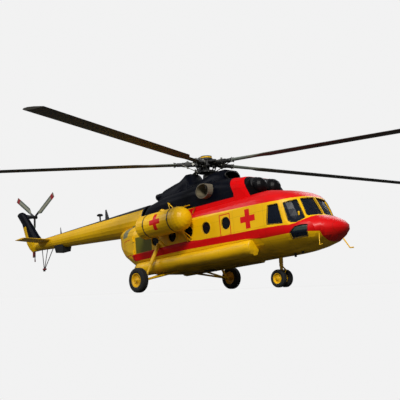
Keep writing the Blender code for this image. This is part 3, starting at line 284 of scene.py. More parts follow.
def soft_light(name, spot, target, size, watts, colour):
    lamp = bpy.data.lights.new(name, "AREA")
    lamp.shape = "DISK"
    lamp.size = size
    lamp.energy = watts
    lamp.color = colour
    light = bpy.data.objects.new(name, lamp)
    aim = Vector(target) - Vector(spot)
    light.rotation_euler = aim.to_track_quat("-Z", "Y").to_euler()
    light.location = spot
    bpy.context.scene.collection.objects.link(light)


for row in LAMPS:
    soft_light(*row)
print("lights:", len(LAMPS))

# %% [markdown]
# Every finish needs the same three effects: a turned coordinate that follows the body, dirt
# that gathers low and streaks back and also paints the shade on the belly and undersides,
# and panel seams with rivet rows. Each is a node group, made once and placed in each
# material with its own numbers.

# %% Group: body coordinates


def new_group(name, inputs, outputs):
    tree = bpy.data.node_groups.new(name, "ShaderNodeTree")
    for title, kind, value in inputs:
        socket = tree.interface.new_socket(title, in_out="INPUT", socket_type=kind)
        if value is not None:
            socket.default_value = value
    for title, kind in outputs:
        tree.interface.new_socket(title, in_out="OUTPUT", socket_type=kind)
    return tree, tree.nodes.new("NodeGroupInput"), tree.nodes.new("NodeGroupOutput")


def build_body_place():
    outputs = [(n, "NodeSocketFloat") for n in ("x", "y", "z", "side")]
    tree, _, out = new_group("body_place", [], outputs + [("place", "NodeSocketVector")])
    spot = place(tree, "ShaderNodeTexCoord").outputs["Object"]
    turn = place(tree, "ShaderNodeMapping", spot, vector_type="POINT")
    turn.inputs["Rotation"].default_value = (0, PARKING_ANGLE, 0)
    parts = place(tree, "ShaderNodeSeparateXYZ", turn.outputs[0])
    for title in "xyz":
        feed(tree, out.inputs[title], parts.outputs[title.upper()])
    feed(tree, out.inputs["side"], sum_of(tree, "ABSOLUTE", parts.outputs["Y"]))
    feed(tree, out.inputs["place"], turn.outputs[0])
    return tree


BODY_PLACE = build_body_place()
print("group:", BODY_PLACE.name)

# %% Group: weather, with painted low shade
STREAK_SCALE = (0.35, 1.0, 1.4)
CLOUD_SIZE, SPECKLE_SIZE, SHADE_SIZE = 0.42, 0.018, 0.9


def build_weather_and_shade():
    """Low dirt, partly painted shade, fine speckle and slow shade changes: masks from 0 to 1."""
    inputs = [
        ("place", "NodeSocketVector", None),
        ("low", "NodeSocketFloat", 0.3),
        ("high", "NodeSocketFloat", 1.4),
    ]
    outputs = [(n, "NodeSocketFloat") for n in ("dirt", "speckle", "shade")]
    tree, given, out = new_group("weather_and_shade", inputs, outputs)
    spot = given.outputs["place"]
    height = place(tree, "ShaderNodeSeparateXYZ", spot).outputs["Z"]
    stretch = place(tree, "ShaderNodeMapping", spot, vector_type="POINT")
    stretch.inputs["Scale"].default_value = STREAK_SCALE
    cloud = noise(tree, stretch.outputs[0], CLOUD_SIZE, 5.0, 0.62)
    # Darker towards the bottom: dirt, and the painted shade of the belly and undersides
    low = scaled(tree, height, given.outputs["high"], given.outputs["low"])
    broken = sum_of(tree, "ADD", low, sum_of(tree, "SUBTRACT", cloud, 0.5))
    dirt = both(tree, scaled(tree, broken, 0.15, 1.1), scaled(tree, cloud, 0.32, 0.62))
    feed(tree, out.inputs["dirt"], dirt)
    feed(tree, out.inputs["speckle"], scaled(tree, noise(tree, spot, SPECKLE_SIZE, 2.0), 0.35, 0.7))
    feed(tree, out.inputs["shade"], scaled(tree, noise(tree, spot, SHADE_SIZE, 2.0), 0.3, 0.7))
    return tree


WEATHER_AND_SHADE = build_weather_and_shade()
print("group:", WEATHER_AND_SHADE.name)

# %% Group: panel seams and rivets
SEAM_STEPS = [("frame step", 0.62), ("row step", 0.46), ("rivet step", 0.045), ("width", 0.0025)]
RIVET_OFFSET = 0.016
RIVET_EDGE = (0.0045, 0.003)


def build_seams():
    """Seam lines and rivet dots in a regular grid along the body and round it."""
    inputs = [("place", "NodeSocketVector", None)]
    inputs += [(title, "NodeSocketFloat", value) for title, value in SEAM_STEPS]
    outputs = [(n, "NodeSocketFloat") for n in ("seam", "rivet")]
    tree, given, out = new_group("panel_seams", inputs, outputs)
    parts = place(tree, "ShaderNodeSeparateXYZ", given.outputs["place"])
    along, up = parts.outputs["X"], parts.outputs["Z"]

    def distance_to_line(value, step):
        """How far the value is from the nearest whole step."""
        half = sum_of(tree, "MULTIPLY", step, 0.5)
        low = sum_of(tree, "MULTIPLY", step, -0.5)
        return sum_of(tree, "ABSOLUTE", sum_of(tree, "WRAP", value, half, low))

    to_frame = distance_to_line(along, given.outputs["frame step"])
    to_row = distance_to_line(up, given.outputs["row step"])
    width = given.outputs["width"]
    frame_line = sum_of(tree, "LESS_THAN", to_frame, width)
    row_line = sum_of(tree, "LESS_THAN", to_row, width)
    feed(tree, out.inputs["seam"], either(tree, frame_line, row_line))

    def dots(line_distance, run):
        """Rivets in a row beside the line."""
        beside = sum_of(tree, "POWER", sum_of(tree, "SUBTRACT", line_distance, RIVET_OFFSET), 2.0)
        apart = sum_of(tree, "POWER", distance_to_line(run, given.outputs["rivet step"]), 2.0)
        away = sum_of(tree, "SQRT", sum_of(tree, "ADD", beside, apart))
        return scaled(tree, away, *RIVET_EDGE)

    feed(tree, out.inputs["rivet"], either(tree, dots(to_frame, up), dots(to_row, along)))
    return tree


SEAMS = build_seams()
print("group:", SEAMS.name)

# %% [markdown]
# A material here starts as a Principled surface with named masks ready to use. The recipe
# class below only gathers the tree, the groups and the surface node in one place.

# %% Material recipe


class Finish:
    """A new material, with the body place group and the weather group, whose dirt is partly painted shade,
    already placed.
    """

    def __init__(self, name, roughness=0.5, metallic=0.0, low=0.3, high=1.4):
        self.material = bpy.data.materials.new(name)
        self.material.use_nodes = True
        self.tree = self.material.node_tree
        self.surface = self.tree.nodes["Principled BSDF"]
        self.surface.inputs["Roughness"].default_value = roughness
        self.surface.inputs["Metallic"].default_value = metallic
        self.spot = place(self.tree, "ShaderNodeGroup", node_tree=BODY_PLACE).outputs
        weather_and_shade = place(self.tree, "ShaderNodeGroup", node_tree=WEATHER_AND_SHADE)
        feed(self.tree, weather_and_shade.inputs["place"], self.spot["place"])
        weather_and_shade.inputs["low"].default_value = low
        weather_and_shade.inputs["high"].default_value = high
        self.weather_and_shade = weather_and_shade.outputs

    def colour(self, value):
        feed(self.tree, self.surface.inputs["Base Color"], value)

    def rough(self, value):
        feed(self.tree, self.surface.inputs["Roughness"], value)

    def coat(self, weight, roughness):
        self.surface.inputs["Coat Weight"].default_value = weight
        self.surface.inputs["Coat Roughness"].default_value = roughness

    def bump(self, height, strength=0.4, depth=0.002):
        node = place(self.tree, "ShaderNodeBump")
        node.inputs["Strength"].default_value = strength
        node.inputs["Distance"].default_value = depth
        feed(self.tree, node.inputs["Height"], height)
        feed(self.tree, self.surface.inputs["Normal"], node.outputs[0])

    def seams(self, frame_step, row_step):
        group = place(self.tree, "ShaderNodeGroup", node_tree=SEAMS)
        feed(self.tree, group.inputs["place"], self.spot["place"])
        group.inputs["frame step"].default_value = frame_step
        group.inputs["row step"].default_value = row_step
        return group.outputs["seam"], group.outputs["rivet"]


def wear(node_name, finish):
    """Gives a node of the frame its finish, in every slot."""
    mesh = nodes[node_name].data
    if not mesh.materials:
        mesh.materials.append(finish)
    for slot in range(len(mesh.materials)):
        mesh.materials[slot] = finish


print("nodes with more than one slot:", [n for n, o in nodes.items() if len(o.data.materials) > 1])

# %% [markdown]
# The paint scheme is gold with red bands, a red nose and roof, and a navy engine housing.
# The bands run straight through doors and seams, so one material paints the whole body by
# place: each colour is a mask made of heights and lengths in body coordinates. A line that
# bends is a short table of (x, z) points. The crosses are plain ones, in the stripe's red.

# %% Paint colours and levels
GOLD = srgb(229, 180, 4)
GOLD_SHADE = srgb(212, 160, 3)
RED = srgb(200, 6, 9)
NAVY = srgb(5, 7, 16)
PAINT_BLACK = srgb(9, 9, 11)
# Olive primer in the dark tone of the high tank's shadow, so partly painted shadow
PRIMER_AND_TANK_SHADOW = srgb(88, 86, 12)
GREY_PATCH = srgb(122, 124, 96)
# Dark brown dirt low on the body, which also paints the shade on the belly and undersides
GRIME_AND_SHADE = srgb(58, 44, 16)
STRIPE_TOP = [(-2.9, 0.945), (-1.8, 0.95), (-0.4, 0.985), (0.3, 0.985), (0.9, 0.93), (2.2, 0.89)]
STRIPE_TOP += [(3.5, 0.86)]
STRIPE_LOW = [(-2.6, 0.70), (0.2, 0.715), (1.5, 0.69), (2.9, 0.65), (3.4, 0.58)]
# The slanted rear end of the stripe: x, slant, and the height where x is measured
STRIPE_REAR = (-2.90, 0.62, 0.945)
STRIPE_FRONT_X = 3.45
BAND_LOW = [(1.0, 1.70), (2.5, 1.65)]
BAND_X = (-2.2, 2.6)
COWL_PAINT_LOW = [(-2.85, 2.40), (-2.4, 2.2), (-1.8, 2.08)]
RED_NOSE_X, RED_TIP_X = 3.4, 5.24
RED_NOSE_LOW = [(3.3, 0.575), (3.61, 0.57), (4.51, 0.585), (4.99, 0.56), (5.30, 0.52)]
SILL_LINE = [(3.25, 0.87), (4.31, 0.84), (4.48, 0.82), (4.68, 0.85), (4.94, 0.965), (5.06, 1.04)]
BROW_X = 2.5
BROW_LINE = [(2.5, 1.65), (3.8, 1.60), (4.21, 1.60), (4.60, 1.65), (4.75, 1.72)]
BOOM_STRIP = [(-12.0, 2.81), (-10.15, 2.78), (-8.8, 2.76), (-6.2, 2.74), (-3.0, 2.69)]
NAVY_FRONT_X, NAVY_REAR_X = 2.36, -2.85
# The housing's front edge leans back above a height: that height, and the lean
NAVY_LEAN = (2.2, 0.39)
# The intake's black front: x, the height where x is measured, and the lean
BLACK_FRONT = (2.93, 2.11, 0.50)
# The specular level of gloss paint, and of the matt paint on the housing and the fin
SHINE, MATT_SHINE = 0.2, 0.04
# A bound well past the surfaces that a mark lies on, for marks that are open on one side
FAR = 9.0
print("stripe height at its rear:", round(STRIPE_TOP[0][1] - STRIPE_LOW[0][1], 3), "m")

# %% Paint marks


def over(tree, value, line):
    """1 where a value is over a level or a line."""
    return between(tree, sum_of(tree, "SUBTRACT", value, line), 0.0, FAR)


def above(tree, x, z, points):
    """1 over the line through the points."""
    return over(tree, z, line_through(tree, x, points))


def below(tree, x, z, points):
    """1 under the line through the points."""
    return over(tree, line_through(tree, x, points), z)


def box_mark(tree, x, z, centre, half_length, half_height, soft=0.004):
    """1 inside an upright rectangle of the side view."""
    across = between(tree, x, centre[0] - half_length, centre[0] + half_length, soft)
    return both(tree, across, between(tree, z, centre[1] - half_height, centre[1] + half_height, soft))


def cross_mark(tree, x, z, centre, half, arm):
    upright = box_mark(tree, x, z, centre, arm / 2, half)
    return either(tree, upright, box_mark(tree, x, z, centre, half, arm / 2))


def frame_mark(tree, x, z, centre, half_length, half_height, width):
    """The outline of a rectangle."""
    outer = box_mark(tree, x, z, centre, half_length, half_height)
    inner = box_mark(tree, x, z, centre, half_length - width, half_height - width)
    return sum_of(tree, "SUBTRACT", outer, inner)


def dashes(tree, value, step=0.07):
    return sum_of(tree, "GREATER_THAN", sum_of(tree, "WRAP", value, step, 0.0), 0.4 * step)


CROSS_PLACE, CROSS_HALF, CROSS_ARM = (3.06, 1.245), 0.30, 0.19
TANK_CROSS_PLACE, TANK_CROSS_HALF, TANK_CROSS_ARM = (-0.25, 1.69), 0.265, 0.17
HATCH_PLACE, HATCH_HALF, HATCH_LINE = (2.10, 1.215), (0.235, 0.35), 0.03
# The primer patch, partly the painted shadow of the high tank and the gear strut
PRIMER_SHADOW_PLACE, PRIMER_SHADOW_HALF, PRIMER_SHADOW_EDGE = (-2.02, 1.24), (0.47, 0.29), 0.015
CORNER_PLACE, CORNER_HALF, CORNER_LINE = (-3.03, 1.25), (0.50, 0.30), 0.03
CORNER_X = (-3.8, -2.9)
FLANK, CABIN_SIDE = (1.0, 1.3), (1.15, 1.32)
# The grey patch: its lean, its ends in leaning x, its heights, and its soft edge
GREY_LEAN, GREY_X, GREY_Z, GREY_EDGE = -0.35, (-4.22, -3.72), (1.66, 2.14), 0.02
print("cross on the cabin:", 2 * CROSS_HALF, "m")

# %% Livery


def red_areas(tree, spot):
    x, z = spot["x"], spot["z"]
    rear_x, slant, rear_z = STRIPE_REAR
    rear = sum_of(tree, "ADD", x, sum_of(tree, "MULTIPLY", sum_of(tree, "SUBTRACT", z, rear_z), slant))
    stripe = both(
        tree,
        above(tree, x, z, STRIPE_LOW),
        below(tree, x, z, STRIPE_TOP),
        between(tree, rear, rear_x, FAR),
        between(tree, x, -FAR, STRIPE_FRONT_X),
    )
    sides = both(tree, above(tree, x, z, RED_NOSE_LOW), below(tree, x, z, SILL_LINE))
    nose = both(tree, sides, between(tree, x, RED_NOSE_X, FAR))
    tip = between(tree, x, RED_TIP_X, FAR)
    band = both(tree, above(tree, x, z, BAND_LOW), between(tree, x, *BAND_X))
    roof = both(tree, above(tree, x, z, BROW_LINE), between(tree, x, BROW_X, FAR))
    return either(tree, stripe, nose, tip, band, roof)


def navy_areas(tree, spot):
    x, z = spot["x"], spot["z"]
    boom = between(tree, x, BOOM_STRIP[0][0] - 0.1, NAVY_REAR_X + 0.02)
    strip = both(tree, above(tree, x, z, BOOM_STRIP), boom)
    start, lean = NAVY_LEAN
    high = sum_of(tree, "MAXIMUM", sum_of(tree, "SUBTRACT", z, start), 0.0)
    front = sum_of(tree, "ADD", x, sum_of(tree, "MULTIPLY", high, lean))
    length = both(tree, between(tree, front, -FAR, NAVY_FRONT_X), between(tree, x, NAVY_REAR_X, FAR))
    housing = both(tree, above(tree, x, z, COWL_PAINT_LOW), length)
    return either(tree, strip, housing)


def red_marks(tree, spot):
    x, z = spot["x"], spot["z"]
    starboard = between(tree, spot["y"], -FAR, 0.0)
    cabin_side = between(tree, spot["side"], *CABIN_SIDE)
    cross = both(tree, cross_mark(tree, x, z, CROSS_PLACE, CROSS_HALF, CROSS_ARM), starboard)
    hatch = frame_mark(tree, x, z, HATCH_PLACE, *HATCH_HALF, HATCH_LINE)
    corner = both(
        tree,
        frame_mark(tree, x, z, CORNER_PLACE, *CORNER_HALF, CORNER_LINE),
        between(tree, x, *CORNER_X),
        either(tree, dashes(tree, x), dashes(tree, z)),
    )
    return either(tree, both(tree, either(tree, cross, hatch), cabin_side), corner)


def bare_and_shaded_patches(tree, spot):
    """Unpainted old panels: primer low on the flank, partly the painted shadow of the high tank and gear
    strut; grey under the boom.
    """
    x, z = spot["x"], spot["z"]
    flank = between(tree, spot["side"], *FLANK)
    primer_and_shadow = both(tree, box_mark(tree, x, z, PRIMER_SHADOW_PLACE, *PRIMER_SHADOW_HALF, PRIMER_SHADOW_EDGE), flank)
    leaning_x = sum_of(tree, "ADD", x, sum_of(tree, "MULTIPLY", z, GREY_LEAN))
    length = between(tree, leaning_x, *GREY_X, GREY_EDGE)
    return primer_and_shadow, both(tree, length, between(tree, z, *GREY_Z, GREY_EDGE))


def paint_base(paint):
    tree = paint.tree
    return blended(tree, sum_of(tree, "MULTIPLY", paint.weather_and_shade["shade"], 0.5), GOLD, GOLD_SHADE)


DIRT_AND_SHADE_SHARE, SEAM_SHARE, RIVET_SHARE = 0.6, 0.5, 0.14
SEAM_DARK, RIVET_DARK = srgb(40, 26, 6), srgb(60, 40, 8)
CLEAN_ROUGHNESS, DIRTY_ROUGHNESS = 0.40, 0.68
COAT_SHARE, COAT_ROUGHNESS = 0.15, 0.25


def paint_wear(paint, colour, seam, rivet, shine=SHINE):
    """Dirt that is partly painted shade, seams and rivets over any paint, in colour, gloss and relief."""
    tree, dirt = paint.tree, paint.weather_and_shade["dirt"]
    # The low dirt also paints the shade on the belly and undersides
    for mask, share, dark in (
        (dirt, DIRT_AND_SHADE_SHARE, GRIME_AND_SHADE),
        (seam, SEAM_SHARE, SEAM_DARK),
        (rivet, RIVET_SHARE, RIVET_DARK),
    ):
        colour = blended(tree, sum_of(tree, "MULTIPLY", mask, share), colour, dark)
    paint.colour(colour)
    paint.rough(scaled(tree, dirt, 0.0, 1.0, CLEAN_ROUGHNESS, DIRTY_ROUGHNESS))
    relief = sum_of(tree, "SUBTRACT", sum_of(tree, "MULTIPLY", rivet, 0.5), seam)
    paint.bump(relief, strength=0.35, depth=0.0015)
    paint.surface.inputs["Specular IOR Level"].default_value = shine
    paint.coat(COAT_SHARE * shine, COAT_ROUGHNESS)


def make_livery(name, black_front=False, shine=SHINE):
    paint = Finish(name, low=0.05, high=0.72)
    tree, spot = paint.tree, paint.spot
    # Primer low on the flank, partly painted shadow of the high tank and gear strut; grey paint under the
    # boom
    primer_and_shadow, grey = bare_and_shaded_patches(tree, spot)
    colour = blended(tree, primer_and_shadow, paint_base(paint), PRIMER_AND_TANK_SHADOW)
    colour = blended(tree, grey, colour, GREY_PATCH)
    colour = blended(tree, either(tree, red_areas(tree, spot), red_marks(tree, spot)), colour, RED)
    colour = blended(tree, navy_areas(tree, spot), colour, NAVY)
    if black_front:
        front_x, level, lean = BLACK_FRONT
        rise = sum_of(tree, "MULTIPLY", sum_of(tree, "SUBTRACT", spot["z"], level), lean)
        front = between(tree, sum_of(tree, "ADD", spot["x"], rise), front_x, FAR)
        colour = blended(tree, front, colour, PAINT_BLACK)
    paint_wear(paint, colour, *paint.seams(0.615, 0.46), shine)
    return paint.material


LIVERY = make_livery("livery_paint")
COWL_LIVERY = make_livery("cowl_paint", shine=MATT_SHINE)
INTAKE_LIVERY = make_livery("intake_paint", black_front=True, shine=MATT_SHINE)
BODY_NODES = (
    "cabin_shell cockpit_shell nose_cone tail_boom clamshell_port clamshell_stbd sliding_door "
    "low_tank_port low_tank_stbd"
).split()
for name in BODY_NODES:
    wear(name, LIVERY)
wear("engine_cowl", COWL_LIVERY)
wear("intake_cowl", INTAKE_LIVERY)
print("painted nodes:", len(BODY_NODES) + 2)

# %% [markdown]
# The high tanks are gold with the cross on their outer side. The fin is navy down to the
# stabiliser, gold below it, and gold in a narrow strip along its rear edge.

# %% Tank and fin paint
FIN_STRIP = [(2.88, -11.76), (3.09, -11.83), (3.34, -11.95), (3.62, -12.02)]
FIN_NAVY_LOW = 2.88
TANK_OUTER_Y = 1.8


def make_tank_paint():
    paint = Finish("tank_paint", low=0.95, high=1.32)
    tree, spot = paint.tree, paint.spot
    cross = cross_mark(tree, spot["x"], spot["z"], TANK_CROSS_PLACE, TANK_CROSS_HALF, TANK_CROSS_ARM)
    outer = between(tree, spot["side"], TANK_OUTER_Y, FAR)
    colour = blended(tree, both(tree, cross, outer), paint_base(paint), RED)
    paint_wear(paint, colour, *paint.seams(0.59, 3.0))
    return paint.material


def make_fin_paint():
    paint = Finish("fin_paint", low=1.9, high=2.3)
    tree, spot = paint.tree, paint.spot
    edge = line_through(tree, spot["z"], FIN_STRIP)
    over_strip = over(tree, spot["z"], FIN_STRIP[-1][0])
    inside = either(tree, over(tree, spot["x"], edge), over_strip)
    navy = both(tree, inside, over(tree, spot["z"], FIN_NAVY_LOW))
    paint_wear(paint, blended(tree, navy, paint_base(paint), NAVY), *paint.seams(0.45, 0.33), MATT_SHINE)
    return paint.material


TANK_PAINT = make_tank_paint()
FIN_PAINT = make_fin_paint()
for side in ("port", "stbd"):
    wear(f"high_tank_{side}", TANK_PAINT)
wear("fin", FIN_PAINT)
print("fin is navy over", FIN_NAVY_LOW, "m")

# %% [markdown]
# Plain finishes for the rest: painted gold fittings, blackened steel, bare steel, rubber,
# tinted glass, blade skins. Each has its own grain or wear so that no surface is one flat
# colour.

# %% Plain finishes
GLOSS_SHINE = 0.12


def plain(name, colour, second, roughness=0.5, metallic=0.0, grain=0.01, relief=0.15, coat=0.0):
    """A finish of two close shades, mixed by slow clouds, with a fine grain in its relief."""
    finish = Finish(name, roughness=roughness, metallic=metallic)
    tree = finish.tree
    mixed = blended(tree, sum_of(tree, "MULTIPLY", finish.weather_and_shade["shade"], 0.5), colour, second)
    finish.colour(blended(tree, sum_of(tree, "MULTIPLY", finish.weather_and_shade["speckle"], 0.12), mixed, second))
    fine = noise(tree, finish.spot["place"], grain, 2.0)
    finish.rough(scaled(tree, fine, 0.2, 0.8, roughness * 0.85, min(roughness * 1.2, 1.0)))
    finish.bump(fine, strength=relief, depth=grain * 0.05)
    if coat:
        finish.coat(coat, 0.1)
    return finish.material


GOLD_FITTING = plain("gold_fitting", GOLD, GOLD_SHADE, roughness=0.42, coat=0.05)
NAVY_FITTING = plain("navy_fitting", NAVY, srgb(4, 6, 12), roughness=0.5)
BLACK_PAINT = plain("black_paint", srgb(13, 13, 15), srgb(24, 24, 26), roughness=0.5)
GLOSS_BLACK = plain("gloss_black", srgb(7, 7, 9), srgb(13, 13, 15), roughness=0.42, relief=0.02, coat=0.03)
GLOSS_BLACK.node_tree.nodes["Principled BSDF"].inputs["Specular IOR Level"].default_value = GLOSS_SHINE
DARK_STEEL = plain("dark_steel", srgb(38, 38, 38), srgb(22, 22, 24), roughness=0.55, metallic=0.35)
BARE_STEEL = plain("bare_steel", srgb(140, 140, 134), srgb(92, 92, 90), roughness=0.38, metallic=0.8)
RUBBER = plain("tyre_rubber", srgb(17, 17, 18), srgb(30, 29, 28), roughness=0.85, grain=0.006, relief=0.3)
GREY_PAINT = plain("grey_paint", srgb(92, 98, 94), srgb(70, 76, 74), roughness=0.6)
CLOTH = plain("seat_cloth", srgb(40, 46, 52), srgb(28, 32, 38), roughness=0.9, grain=0.004, relief=0.5)
FLOOR_GREY = plain("floor_mat", srgb(60, 62, 62), srgb(44, 46, 46), roughness=0.8)
SOOT = plain("soot", srgb(26, 20, 16), srgb(14, 11, 9), roughness=0.9)
DULL_RED = plain("dull_red", srgb(110, 14, 18), srgb(80, 10, 14), roughness=0.6)
PALE_GREEN = plain("primer_green", srgb(104, 122, 100), srgb(76, 92, 76), roughness=0.7)
# Pale sheets behind the windscreen, which paint its pale reflection
PAINTED_REFLECTION_WHITE = plain("painted_reflection", srgb(172, 176, 178), srgb(130, 134, 138), roughness=0.8)
print("finishes:", len(bpy.data.materials))

# %% [markdown]
# The windows are tinted and look dark from outside, yet the seats behind them can be made
# out. A thin plane of real glass would cost many light bounces for little, so the pane is a
# dark glossy skin that lets part of the picture through.

# %% Tinted glass
CHIN_BAND = (0.63, 0.85)
GLASS_ROUGHNESS, GLASS_SHINE = 0.3, 0.1


def make_glass(name, tint, cover):
    finish = Finish(name, roughness=GLASS_ROUGHNESS)
    tree = finish.tree
    shade = sum_of(tree, "MULTIPLY", finish.weather_and_shade["shade"], 0.4)
    colour = blended(tree, shade, tint, srgb(14, 17, 24))
    frame_band = between(tree, finish.spot["z"], *CHIN_BAND, 0.02)
    finish.colour(blended(tree, frame_band, colour, srgb(66, 82, 78)))
    finish.surface.inputs["Alpha"].default_value = cover
    finish.surface.inputs["Specular IOR Level"].default_value = GLASS_SHINE
    return finish.material


COCKPIT_GLASS = make_glass("cockpit_glass", srgb(24, 30, 42), 0.72)
CABIN_GLASS = make_glass("cabin_glass", srgb(18, 20, 24), 0.86)
wear("cockpit_glazing", COCKPIT_GLASS)
CABIN_PANES = ("cabin_glazing_port", "cabin_glazing_stbd", "door_glass")
for name in CABIN_PANES:
    wear(name, CABIN_GLASS)
print("glass nodes:", 1 + len(CABIN_PANES))

# %% [markdown]
# A main rotor blade is pale grey-green near its root, where the skin is bare, and near black
# beyond. All five share one material, because the distance from the mast tells where the
# skin changes, whatever way the blade points. The tail rotor does the same round its own
# hub: grey-green blades with a worn pale middle and dull red tips.

# %% Blade finishes
GREY_BLADE = (1.9, 4.6)
ROOT_TUBE_END = 1.8
TAIL_HUB = Vector((-12.65, 0.58, 3.17))
TAIL_TIP_RED = (1.68, 1.90)
TAIL_HUB_END = 0.42
SKIN_JOINTS = (0.42, 0.008)


def radius_about(tree, centre, axes):
    """The distance from a line through the centre, across the two axes."""
    spot = place(tree, "ShaderNodeSeparateXYZ", place(tree, "ShaderNodeTexCoord").outputs["Object"])
    parts = [sum_of(tree, "SUBTRACT", spot.outputs[a], centre["XYZ".index(a)]) for a in axes]
    squares = [sum_of(tree, "POWER", part, 2.0) for part in parts]
    return sum_of(tree, "SQRT", sum_of(tree, "ADD", *squares)), parts


def make_blade_skin():
    finish = Finish("blade_skin", roughness=0.55)
    tree = finish.tree
    radius, _ = radius_about(tree, (0, 0, 0), "XY")
    step, width = SKIN_JOINTS
    joints = sum_of(tree, "LESS_THAN", sum_of(tree, "WRAP", radius, step, 0.0), width)
    colour = blended(tree, scaled(tree, radius, *GREY_BLADE), srgb(104, 106, 94), srgb(33, 31, 27))
    worn = sum_of(tree, "MULTIPLY", finish.weather_and_shade["shade"], 0.35)
    colour = blended(tree, worn, colour, srgb(52, 48, 42))
    colour = blended(tree, sum_of(tree, "MULTIPLY", joints, 0.6), colour, srgb(12, 12, 12))
    colour = blended(tree, between(tree, radius, 0.0, ROOT_TUBE_END), colour, srgb(86, 92, 84))
    finish.colour(colour)
    finish.bump(joints, strength=0.3, depth=0.002)
    return finish.material


def make_tail_blade_skin():
    finish = Finish("tail_blade_skin", roughness=0.5)
    tree = finish.tree
    radius, (east, up) = radius_about(tree, TAIL_HUB, "XZ")
    angle = sum_of(tree, "ARCTAN2", east, sum_of(tree, "MULTIPLY", up, -1.0))
    third = sum_of(tree, "WRAP", angle, pi / 3, -pi / 3)
    across = sum_of(tree, "MULTIPLY", radius, sum_of(tree, "SINE", third))
    pale = between(tree, across, -0.13, -0.02, 0.03)
    colour = blended(tree, pale, srgb(72, 84, 74), srgb(140, 140, 122))
    red = between(tree, radius, *TAIL_TIP_RED, 0.02)
    colour = blended(tree, red, colour, srgb(140, 8, 20))
    hub = between(tree, radius, -1.0, TAIL_HUB_END, 0.03)
    finish.colour(blended(tree, hub, colour, srgb(16, 16, 17)))
    finish.bump(noise(tree, finish.spot["place"], 0.02), strength=0.1, depth=0.001)
    return finish.material


BLADE_SKIN = make_blade_skin()
TAIL_BLADE_SKIN = make_tail_blade_skin()
main_blades = [name for name in nodes if name.startswith("main_blade_")]
for name in main_blades:
    wear(name, BLADE_SKIN)
wear("tail_rotor", TAIL_BLADE_SKIN)
print("main blades:", len(main_blades))

# %% [markdown]
# Hot gas browns the steel of the two exhaust pipes and leaves soot in their lower half. The
# inside and the outside of a pipe are told apart by their normals: a wall that faces the
# pipe's own middle is inside.

# %% Burnt exhaust steel
EXHAUST_PLACE = (1.25, 2.50)
LIP_SIDE = 1.215
SOOT_HEIGHTS = (2.28, 2.46)


def make_exhaust_steel():
    """Grey-brown outside; soot low inside, dust higher up, and a brown rim at the lip."""
    finish = Finish("burnt_steel", roughness=0.65, metallic=0.15)
    tree, spot = finish.tree, finish.spot
    turned = place(tree, "ShaderNodeTexCoord").outputs["Normal"]
    facing = place(tree, "ShaderNodeSeparateXYZ", turned).outputs
    parts = [
        sum_of(tree, "MULTIPLY", sum_of(tree, "SUBTRACT", spot[axis], middle), facing[axis.upper()])
        for axis, middle in zip("xz", EXHAUST_PLACE)
    ]
    inside = sum_of(tree, "LESS_THAN", sum_of(tree, "ADD", *parts), 0.0)
    lip = between(tree, spot["side"], LIP_SIDE, FAR, 0.012)
    outside = blended(tree, finish.weather_and_shade["shade"], srgb(112, 104, 88), srgb(88, 80, 64))
    depth = blended(tree, scaled(tree, spot["z"], *SOOT_HEIGHTS), srgb(18, 12, 9), srgb(112, 104, 82))
    colour = blended(tree, inside, outside, depth)
    colour = blended(tree, both(tree, lip, inside), colour, srgb(84, 78, 62))
    finish.colour(colour)
    finish.bump(noise(tree, spot["place"], 0.03), strength=0.15, depth=0.001)
    return finish.material


EXHAUST_STEEL = make_exhaust_steel()
for side in ("port", "stbd"):
    wear(f"exhaust_{side}", EXHAUST_STEEL)
print("the pipes' brown rims begin", LIP_SIDE, "m out")

# %% [markdown]
# What is left gets one of the plain finishes. A table gives each finish the nodes that wear
# it, and the last line prints any node that was forgotten.

# %% Other nodes
PLAIN_NODES = [
    (BLACK_PAINT, "antenna_blade antenna_rear cockpit_floor doppler_box tail_skid"),
    (CLOTH, "pilot_seat_port pilot_seat_stbd"),
    (DARK_STEEL, "engine_port engine_stbd gearbox mast rotor_hub sling_plate"),
    (FLOOR_GREY, "cabin_floor"),
    (GLOSS_BLACK, "intake_filter_port intake_filter_stbd"),
    (GOLD_FITTING, "main_leg_port main_leg_stbd nose_fork nose_leg stabiliser_port stabiliser_stbd"),
    (GOLD_FITTING, "main_port_rim main_stbd_rim nose_rims"),
    (GREY_PAINT, "bulkhead"),
    (NAVY_FITTING, "tail_gearbox"),
    (RUBBER, "main_port_tyre main_stbd_tyre nose_port_tyre nose_stbd_tyre"),
]
for finish, names in PLAIN_NODES:
    for name in names.split():
        wear(name, finish)
print("nodes with no finish:", [n for n in nodes if not nodes[n].data.materials])

# %% [markdown]
# Small pieces are made in a few common ways. A turned piece is a profile spun about a line,
# a rod is a cone with two equal radii, a block is a cube with its edges bevelled, and a bead or a
# wire is a curve with a round section. Each is made where it belongs, so that its object
# stays at the origin, and its normals are turned outwards once its doubles are merged.

# %% Piece helpers
MERGE_DISTANCE = 1e-5
WIRE_ROUNDING = 2


def show(piece, body, finish):
    bpy.context.scene.collection.objects.link(piece)
    piece.data.materials.append(finish)
    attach(piece, body)
    return piece


def finished(name, mesh, body, finish, smooth=40.0):
    """The bmesh as an object of the scene that rides on a body."""
    bmesh.ops.remove_doubles(mesh, verts=mesh.verts, dist=MERGE_DISTANCE)
    bmesh.ops.recalc_face_normals(mesh, faces=mesh.faces)
    data = bpy.data.meshes.new(name)
    mesh.to_mesh(data)
    mesh.free()
    data.shade_smooth()
    data.set_sharp_from_angle(angle=radians(smooth))
    return show(bpy.data.objects.new(name, data), body, finish)


def pointing(start, way):
    """A frame at start whose Z axis runs along the way."""
    return Matrix.Translation(start) @ Vector(way).to_track_quat("Z", "Y").to_matrix().to_4x4()


